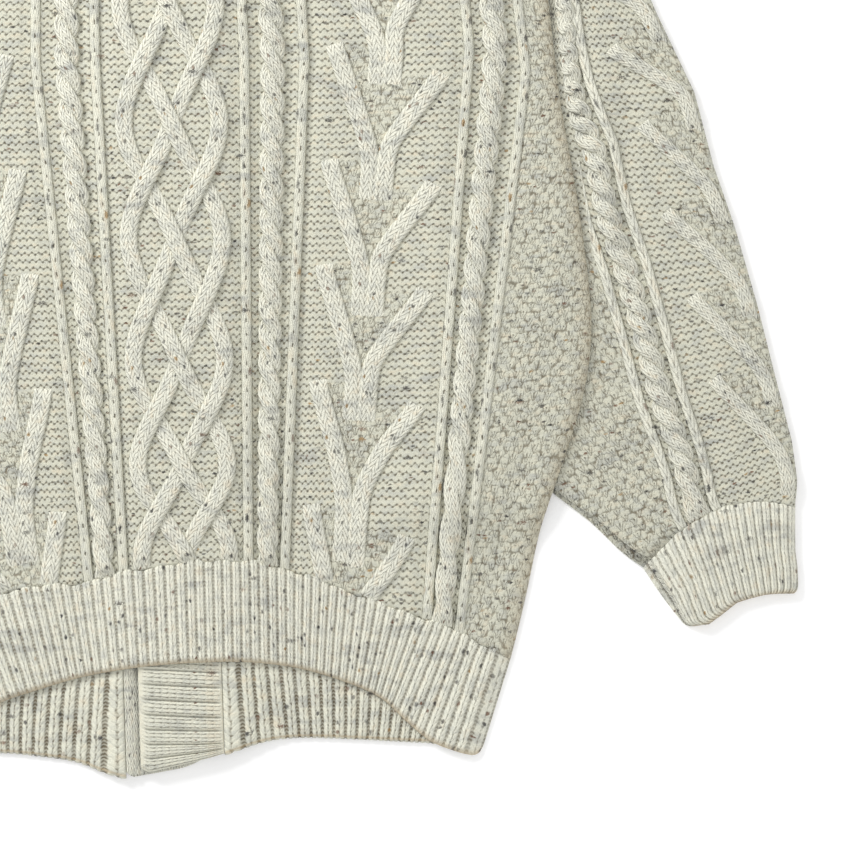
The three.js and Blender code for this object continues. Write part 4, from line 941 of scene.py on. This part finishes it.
FRONT_MOSS_FROM = 205         # the moss stitch at its side starts here
FRONT_PANEL_AT, FRONT_PANEL_HALF = 140, 32
FRONT_REPEAT, FRONT_GAP = 83, 25     # its panel's moss stitch repeats, and starts after a gap
FRONT_COLUMNS, FRONT_ROWS = 56, 130
FRONT_HEM_SIDE_Y = -70.0      # where a front hem's width is taken
SCALLOP = 0.9                 # how far the stitches stand out along its free edge


def make_front(side, name):
    """A front lies face down, so its outside is the garment's underside."""
    start = seam_x(side)
    rows = np.linspace(0, 1, FRONT_ROWS)[:, None]

    def face(share, height):
        def x_at(y):
            return side * mix(start, edge_x(y) - FRONT_INSET, share)
        def y_at(x):
            return mix(FRONT_HEM_TOP_Y + SEAM, front_top_y(x), rows)
        x, y = settle(x_at, y_at, (len(rows), len(share)))
        return x, y, lift(x, y) + height

    under = face(np.linspace(0, 1, FRONT_COLUMNS), 0)
    upper = face(np.linspace(1, 0, 14), CLOTH)
    x, y, z = (np.concatenate([a, b], axis=1) for a, b in zip(under, upper))
    in_panel = (abs(abs(x) - FRONT_PANEL_AT) < FRONT_PANEL_HALF) & (y % FRONT_REPEAT > FRONT_GAP)
    moss = np.where((abs(x) > FRONT_MOSS_FROM) | in_panel, 1.0, 0.0)
    bm = new_mesh()
    knit(bm, stack(x, y, z), stack(x / WALE, y / COURSE, moss))
    return finish_piece(name + "_ground", bm, GROUND_WOOL, [name])


def make_front_hem(side, name):
    """A front's ribbed hem, seen from its inside."""
    start = seam_x(side) - (0 if side > 0 else SEAM * 0.85)
    width = edge_x(FRONT_HEM_SIDE_Y) - FRONT_INSET - start
    first = SEAM_STITCHES if side > 0 else FRONT_RIB_PITCH
    ribs = round((width - first) / FRONT_RIB_PITCH) + 1
    phase = np.linspace(0, ribs, ribs * RIB_STEPS + 1)
    shares = np.interp(phase, [0, 1, ribs], [0, first / width, 1])
    height = np.concatenate([HEM_EDGE_HEIGHTS, np.linspace(0.07, 1, 30)])[:, None]
    lean = straight(FRONT_HEM_LEAN, "share", "right" if side > 0 else "left", shares)

    def face(share):
        return settle(lambda y: side * mix(start, edge_x(y) - FRONT_INSET, share),
                      lambda x: mix(front_hem_low_y(x), FRONT_HEM_TOP_Y, height),
                      (len(height), np.shape(share)[-1]))

    round_off = np.interp(height, HEM_EDGE_HEIGHTS, HEM_EDGE_DROPS)
    x, y = face(shares + lean * (1 - height))
    y = y - SCALLOP * rib_rise(2 * phase, 1) * ease((0.03 - height) / 0.03)
    # its ribs stand up only where they come out from under the back's hem
    open_share = ease((hem_low_y(x) - 1 - y) / 9) * (0.4 + 0.6 * ease(height / HEM_EDGE_HEIGHTS[3]))
    z = lift(x, y) + CLOTH + rib_rise(phase, FRONT_RIB_RISE) * open_share - round_off
    wale = np.maximum(phase, 0.22 + 0.78 * phase)
    # painted shade: tan along the free edge, where it rounds off
    edge_shade = np.interp(height, HEM_EDGE_HEIGHTS, [1, 1.1, 1.9, 1])
    upper = stack(x, y, z), stack(wale, y / COURSE, edge_shade)
    x, y = face(np.linspace(1, 0, 12))
    under = stack(x, y, lift(x, y)), stack(np.linspace(ribs, 0, 12), y / COURSE, 0)
    return finish_wall(name + "_rib", upper, under, SHADED_RIB_WOOL, name)


BAND_EDGE_DROPS = [1.2, 0.45, 0.1, 0]
BAND_SIDE = [0, 0.012, 0.04, 0.09]    # places across a band that round its side off by those drops
BAND_END = [0, 0.6, 1.5, 2.6]         # and rows that round its low end off
BAND_RIB_RISE = 1.8
BAND_STITCHES = {"row": [0, 1.0, 3.95, 6.95, 9.9, BAND_RIB_PITCH], "wale": [0, 0.25, 0.75, 0.25, 0.75, 1]}
BAND_WALE = 4


def make_band(name, spec, under_z, ribbed):
    """A front band, knitted sideways: its ribs run across it, three rows of stitches to each. The
    plain one has a trench beside the band that lies over it."""
    low = -spec["leftLowY"]
    rows = np.concatenate([BAND_END[:3], np.arange(BAND_END[3], low + 12, 0.9),
                           np.linspace(low + 20, low + BAND_TOP_Y, 40)])[:, None]
    across = np.concatenate([BAND_SIDE[:3], np.linspace(0.09, 0.91, 15), [0.96, 0.988, 1]])
    tilt = spec["rightLowY"] - spec["leftLowY"]

    def face(across):
        x = mix(spec["left"], spec["right"], across)[None, :] + 0 * rows
        corner = np.clip(1 - across / 0.12, 0, 1) ** 2
        corner = corner + (1.2 - ribbed) * np.clip(across / 0.4 - 1.5, 0, 1) ** 2
        corner = BAND_CORNER * corner * np.clip(1 - rows / low, 0, 1)
        return x, rows - low + across * np.interp(rows, [0, 22, 45, 90], [tilt, -2, -5, -5]) + corner

    x, y = face(across)
    in_rib = (rows + BAND_END[1]) % BAND_RIB_PITCH
    near = np.minimum(in_rib, BAND_RIB_PITCH - in_rib)
    rise = BAND_RIB_RISE * (1 - np.exp(-((near / 1.1) ** 2))) * (rows < low) * ribbed
    ends = ease(across / 0.14) * ease((1 - across) / 0.07)
    rise = mix(1.5 * ribbed, rise, ends)
    edge = np.interp(np.minimum(across, 1 - across), BAND_SIDE, BAND_EDGE_DROPS)
    round_off = np.interp(rows, BAND_END, BAND_EDGE_DROPS)
    trench = TRENCH * np.exp(-(((x - BUTTON_BAND["left"] + 0.6) / 1.7) ** 2)) * (1 - ribbed)
    puff = PUFF * ease((BUTTON_BAND["left"] - 1.5 - x) / 4) * (1 - ribbed)
    z = under_z + BAND_CLOTH + rise + puff - np.maximum(edge, round_off) - trench
    if ribbed:
        marks = stack(straight(BAND_STITCHES, "row", "wale", in_rib), x / COURSE, ends - 1)
    else:
        marks = stack(x / BAND_WALE, y / COURSE, 0)
    upper = stack(x, y, z), marks
    x, y = face(np.linspace(1, 0, 6))
    under = stack(x, y, under_z), stack(x / BAND_WALE, y / COURSE, 0)
    return finish_wall(name + "_rib", upper, under, RIB_WOOL if ribbed else CABLE_WOOL, name)


# ---- sleeves and cuffs -------------------------------------------------------------------------

def section(table, at, inward):
    """Plan place at a distance in from a flattened tube's outer fold, and the tube's width there."""
    out_x, out_y, in_x, in_y, bow = (
        np.interp(at, table["at"], table[key]) for key in ("outX", "outY", "inX", "inY", "bow"))
    before = np.minimum(np.asarray(at) - table["at"][0], 0) * CUFF_SECTION
    out_y, in_y = out_y + before, in_y + before
    width = np.hypot(out_x - in_x, out_y - in_y)
    share = inward / width
    curve = 4 * share * (1 - share) * bow
    if table is CUFF:
        wave = np.interp(share, CUFF_WAVE["share"], CUFF_WAVE["rise"])
        curve = curve + wave * ease((np.asarray(at) - 1) / 0.9)
    return mix(out_x, in_x, share), mix(out_y, in_y, share) + curve, width


def lengths(table):
    """Length along a tube's outer fold at each of its sections."""
    x, y = np.array(table["outX"], float), np.array(table["outY"], float)
    return np.concatenate([[0], np.cumsum(np.hypot(np.diff(x), np.diff(y)))])


UNDER_COLUMNS = 12
FOLD_ROUND = {                # round the outer fold, from below: distance in and height
    "in": np.array([6, 3.6, 1.7, 0.5, 0, 0.5, 1.7, 3.6]),
    "z": [0, 0.25, 0.9, 1.9, 3.2, 4.5, 5.5, 6.15],
}
SEAM_ROUND = {                # round the upper layer's inner side, from above
    "in": np.array([2.2, 0.9, 0.3, 1.0, 1.8]),
    "z": [6.1, 5.4, 4.6, 3.9, 3.3],
}
LEDGE_ROUND = {               # and round the under layer's, which may stick out beside it
    "in": np.array([0.3, 0, 0, 0.8]),
    "z": [2.9, 2.2, 0.9, 0],
}
FACE_FROM = UNDER_COLUMNS + len(FOLD_ROUND["z"])   # the first column of the upper face


def fold_ring(width, upper, ledge):
    """One section round a flattened tube: distances in from the fold, heights, and the same for its
    hollow. upper is the columns of its upper face, ledge how far the under layer shows beside it."""
    under = mix(width - 3, 9.0, np.linspace(0, 1, UNDER_COLUMNS))
    inward = np.concatenate([under, FOLD_ROUND["in"], upper, width - SEAM_ROUND["in"],
                             width + ledge - LEDGE_ROUND["in"]])
    z = np.concatenate([0 * under, FOLD_ROUND["z"], np.full(len(upper), SLEEVE_STACK), SEAM_ROUND["z"],
                        LEDGE_ROUND["z"]])
    place = np.arange(len(inward))
    below = (place < UNDER_COLUMNS + 4) | (place >= len(inward) - len(LEDGE_ROUND["z"]))
    hollow_z = np.where(below, CLOTH, CLOTH + SLEEVE_HOLLOW)
    return inward, z, np.clip(inward, FOLD_IN, width - 7), hollow_z


def face_columns(width, count):
    """Places in from the fold of so many columns on a tube's upper face."""
    return mix(FOLD_IN, width - SEAM_IN, np.linspace(0, 1, count))


def sleeve_open(x, y):
    """How freely a sleeve's face stands up: it is pressed plain under the body's edge."""
    return np.clip((x - edge_x(y) - 2) / 10, 0, 1)


def sleeve_z(x, y):
    return SLEEVE_STACK + creases(SLEEVE_CREASES, x, y) * sleeve_open(x, y)


def make_tube(name, side, table, ats, columns, rise_at, marks_at, ledge_at, material, node):
    """A flattened tube of knitting with its narrow hollow, closed all round. The hollow has only
    every sixteenth section."""
    rings, marks, hollows, hollow_marks = [], [], [], []
    for number, at in enumerate(ats):
        width = section(table, at, 0.0)[2]
        inward, z, hollow_in, hollow_z = fold_ring(width, face_columns(width, columns), ledge_at(at))
        x, y, _ = section(table, at, inward)
        face = slice(FACE_FROM, FACE_FROM + columns)
        z[face] += rise_at(at, inward, x, y)[face]
        rings.append(stack(x, y, z))
        marks.append(marks_at(at, inward, width))
        if number % 16 == 0 or number == len(ats) - 1:
            x, y, _ = section(table, at, hollow_in)
            hollows.append(stack(x, y, hollow_z))
            hollow_marks.append(marks[-1])
    bm = new_mesh()
    points, stitches = np.array(rings + hollows[::-1]), np.array(marks + hollow_marks[::-1])
    knit(bm, points, stitches, closed_along=True, side=side)
    return finish_piece(name, bm, material, [node])


def gather(at):
    """How much narrower the sleeve's pattern is towards the cuff."""
    return mix(1, SLEEVE_GATHER, np.clip((at - GATHER_FROM) / (SLEEVE["at"][-1] - GATHER_FROM), 0, 1))


def make_sleeve(side, node):
    fold = lengths(SLEEVE)
    ats = np.interp(np.linspace(0, fold[-1], int(fold[-1] / RING_STEP)), fold, SLEEVE["at"])

    def rise_at(at, inward, x, y):
        column = inward / gather(at)
        valley = sum(np.exp(-(((column - place) / SLEEVE_VALLEY_HALF) ** 2)) for place in SLEEVE_VALLEYS_AT)
        return (creases(SLEEVE_CREASES, x, y) - SLEEVE_VALLEY * valley) * sleeve_open(x, y)

    def marks_at(at, inward, width):
        x, y, _ = section(SLEEVE, at, inward)
        slant = np.interp(y, SLEEVE_SLANT["y"], SLEEVE_SLANT["slope"])
        course = (y - slant * (x - SLEEVE_SLANT["about"])) / COURSE
        column = inward / gather(at)
        along = np.interp(at, SLEEVE["at"], fold)
        moss = (column > SLEEVE_MOSS_FROM).astype(float)
        for foot in SLEEVE_BRANCH_FEET:
            down = (along - foot + SLEEVE_BRANCH_LENGTH) / SLEEVE_BRANCH_LENGTH
            if 0 < down < 0.9:
                arm = smooth(SLEEVE_ARM, "down", "out", down * SLEEVE_BRANCH_LENGTH)
                moss = np.where(column < SLEEVE_STEM + arm, 1.0, moss)
        return stack(column / WALE, course, moss)

    def ledge_at(at):
        return np.interp(at, [8, 11, 13], [0, 4, 5.5])

    return make_tube(node + "_ground", side, SLEEVE, ats, 66, rise_at, marks_at, ledge_at, GROUND_WOOL,
                     node)


def sleeve_line(inward, along):
    """The plan line of a strand on the sleeve, by its place in from the fold and down the fold."""
    at = np.interp(along, lengths(SLEEVE), SLEEVE["at"])
    x, y, _ = section(SLEEVE, at, inward * gather(at))
    return x, y


def make_sleeve_strands(side, node):
    bm = new_mesh()
    length = lengths(SLEEVE)[-1]
    along = np.arange(length - 0.5, 0, -1.5)

    def strand(inward, along, shape, over=0.0, fade=1.0, **more):
        x, y = sleeve_line(inward, along)
        # it ends beside the armhole's seam
        kept = (y < UNDERARM_Y) | (x > edge_x(y) + shape["half"] + 1)
        over, fade = (np.broadcast_to(values, kept.shape)[kept] for values in (over, fade))
        add_strand(bm, x[kept], y[kept], shape, sleeve_z, over, fade, open_share=sleeve_open,
                   side=side, **more)

    for at in SLEEVE_LADDERS:
        strand(np.full_like(along, at), along, LADDER_STRAND, stitch=LADDER_STITCH, start=at)
    for half_turn in (0, math.pi):
        turn = math.pi * along / ROPE_TURN + half_turn
        strand(SLEEVE_ROPE + ROPE_SWING * np.cos(turn), along, ROPE_STRAND, ROPE_OVERPASS * np.sin(turn),
               start=half_turn)
    for foot in SLEEVE_BRANCH_FEET:
        top = foot - SLEEVE_BRANCH_LENGTH
        run = np.linspace(foot, top, 90)
        inward = SLEEVE_STEM + smooth(SLEEVE_ARM, "down", "out", run - top)
        fade = ease((foot - run) / 14 + 0.1) * ease((run - top) / 9 + 0.15)
        strand(inward, run, SLEEVE_ARM_STRAND, 0.0, fade, start=foot)
    return finish_piece(node + "_cables", bm, CABLE_WOOL)


def make_cuff(side, node):
    fold = lengths(CUFF)
    ats = np.concatenate([[CUFF_OVER], np.linspace(0, 1.8, 28), CUFF["at"][5:]])

    def phase_at(inward, width):
        return (inward - FOLD_IN) / (width - FOLD_IN - SEAM_IN) * CUFF_RIBS

    def rise_at(at, inward, x, y):
        """The ribs are low where they leave the seam and where the free edge rounds off."""
        end = ease((2 - at) / 0.06)
        start = 0.35 + 0.65 * ease(at / 0.3)
        ribs = rib_rise(phase_at(inward, section(CUFF, at, 0.0)[2]), RIB_RISE)
        return ribs * start * (0.3 + 0.7 * end) - 0.8 * (1 - end) - 1.4 * (at < 0)

    def marks_at(at, inward, width):
        course = -np.interp(at, CUFF["at"], fold) / COURSE
        # painted shade: the third value above 1 tints the free edge tan where it rolls round
        return stack(phase_at(inward, width), course, np.interp(at, [1.9, 1.96, 2], [1, 1.6, 1.9]))

    def ledge_at(at):
        return np.interp(at, [0, 1, 2], [5.5, 4.5, 1.0])

    return make_tube(node + "_rib", side, CUFF, ats, CUFF_RIBS * RIB_STEPS + 1, rise_at, marks_at, ledge_at,
                     CUFF_WOOL, node)


# ---- neckband and buttons ----------------------------------------------------------------------

NECKBAND_ROWS = 14
NECKBAND_WALE = 6.0
NECKBAND_FOLD = np.array([[0.985, 5.0], [0.998, 3.4], [0.985, 1.4]])    # share out and height round it


def make_neckband():
    """The ribbed neckband, from one front band round behind the neck to the other."""
    height = np.linspace(0, 1, NECKBAND_ROWS)[:, None]

    def under(side, z):
        start = seam_x(side)
        angle = mix(math.acos(start / NECK_HALF), 0.16, np.linspace(0, 1, 10))
        low_x, low_y = (NECK_HALF - SEAM) * np.cos(angle), NECK_Y - (FRONT_NECK_DROP - SEAM) * np.sin(angle)
        high_x = NECKBAND_HALF_TOP * np.cos(angle)
        high_y = NECKBAND_TOP_Y - NECKBAND_FRONT_DROP * np.sin(angle)
        x = np.maximum(mix(low_x, high_x, height), start + np.arange(10) * 0.5)
        y = mix(low_y, high_y, height)
        return side * x, y, lift(side * x, y) + z

    def over(across, z):
        low_x, low_y = (NECK_HALF - SEAM) * across, back_top_y(NECK_HALF * across) + SEAM
        high_x = NECKBAND_HALF_TOP * across
        high_y = NECKBAND_TOP_Y - NECKBAND_BACK_DROP * np.cos(across * math.pi / 2)
        x, y = mix(low_x, high_x, height), mix(low_y, high_y, height)
        return x, y, lift(x, y) + z

    phase = np.linspace(NECKBAND_RIBS, 0, NECKBAND_RIBS * RIB_STEPS + 1)
    across = mix(-0.96, 0.96, phase / NECKBAND_RIBS)
    drop = np.interp(abs(across), [0.9, 0.96], [0, 0.8])
    rounded = np.interp(height, [0, 0.9, 1], [0, 0, 0.8])
    parts = [
        under(1, 0.0),
        over(*NECKBAND_FOLD[::-1].T),
        over(across, BACK_FACE + rib_rise(phase, RIB_RISE) - drop - rounded),
        over(-NECKBAND_FOLD[:, 0], NECKBAND_FOLD[:, 1]),
        [part[:, ::-1] for part in under(-1, 0.0)],
        under(-1, CLOTH),
        over(np.linspace(-0.93, 0.93, 14), BACK_UNDER),
        [part[:, ::-1] for part in under(1, CLOTH)],
    ]
    points = np.concatenate([stack(*part) for part in parts], axis=1)
    marks = stack(points[..., 0] / NECKBAND_WALE, points[..., 1] / COURSE, 0)
    ribs_from = sum(part[0].shape[1] for part in parts[:2])
    marks[:, ribs_from:ribs_from + len(phase), 0] = phase
    bm = new_mesh()
    knit(bm, points, marks)
    return finish_piece("neckband_rib", bm, RIB_WOOL, ["neckband"])


back_ground = make_back()
back_strands = [make_braid(), make_ropes(), make_ladders(), make_branches()]
back_hem = make_back_hem()
fronts = [make_front(1, "front_right"), make_front(-1, "front_left")]
front_hems = [make_front_hem(1, "front_hem_right"), make_front_hem(-1, "front_hem_left")]
bands = [
    make_band("button_band", BUTTON_BAND, BUTTON_BAND_Z, 1),
    make_band("buttonhole_band", BUTTONHOLE_BAND, BUTTONHOLE_BAND_Z, 0),
]
neckband = make_neckband()
sleeves, cuffs = [], []
for side, word in ((1, "right"), (-1, "left")):
    sleeves.append((make_sleeve(side, "sleeve_" + word), make_sleeve_strands(side, "sleeve_" + word)))
    cuffs.append(make_cuff(side, "cuff_" + word))

horn = polished_horn()
for number in range(1, 7):
    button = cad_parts[f"button_{number}"].data
    button.materials.clear()
    button.materials.append(horn)

for sleeve, strands in sleeves:
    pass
for cuff in cuffs:
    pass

# ---- floor, light and camera -------------------------------------------------------------------

FLOOR_HALF = 6.0              # metres here, as in all of this section but VIEW_X and VIEW_Y
FLOOR_Z = -0.0004
VIEW_X, VIEW_Y = 172.5, 167.3    # the plan place in the middle of the view
SEEN_WIDTH = 0.608            # of the surface, across the picture
VIEW_TURN = -1.84             # degrees
DISTANCE = 2.2
SENSOR = 36

floor_mesh = bpy.data.meshes.new("floor")
bm = bmesh.new()
bmesh.ops.create_grid(bm, x_segments=1, y_segments=1, size=FLOOR_HALF)
bm.to_mesh(floor_mesh)
bm.free()
floor = bpy.data.objects.new("floor", floor_mesh)
floor.location.z = FLOOR_Z
bpy.context.scene.collection.objects.link(floor)
floor_mesh.materials.append(white_paper())

world = bpy.data.worlds.new("soft_studio")
world.use_nodes = True
world.node_tree.nodes["Background"].inputs["Color"].default_value = (1, 1, 1, 1)
world.node_tree.nodes["Background"].inputs["Strength"].default_value = 0.7
bpy.context.scene.world = world


def softbox(name, place, aim, size, power):
    """A square studio light at place, turned towards aim."""
    lamp = bpy.data.lights.new(name, "AREA")
    lamp.shape = "SQUARE"
    lamp.size = size
    lamp.energy = power
    holder = bpy.data.objects.new(name, lamp)
    holder.location = place
    direction = Vector(aim) - Vector(place)
    holder.rotation_euler = direction.to_track_quat("-Z", "Y").to_euler()
    bpy.context.scene.collection.objects.link(holder)


aim = (VIEW_X * MM, (VIEW_Y + SHIFT_Y) * MM, 0)
softbox("key", (aim[0] - 1.4, aim[1] + 1.5, 1.15), aim, 0.8, 42)
softbox("fill", (aim[0] + 1.2, aim[1] - 0.6, 2.0), aim, 1.6, 10)

lens = bpy.data.cameras.new("camera")
lens.sensor_width = SENSOR
lens.lens = SENSOR * DISTANCE / SEEN_WIDTH
camera = bpy.data.objects.new("camera", lens)
camera.location = (aim[0], aim[1], DISTANCE)
camera.rotation_euler = (0, 0, math.radians(VIEW_TURN))
bpy.context.scene.collection.objects.link(camera)
bpy.context.scene.camera = camera
bpy.context.scene.view_settings.view_transform = "Standard"
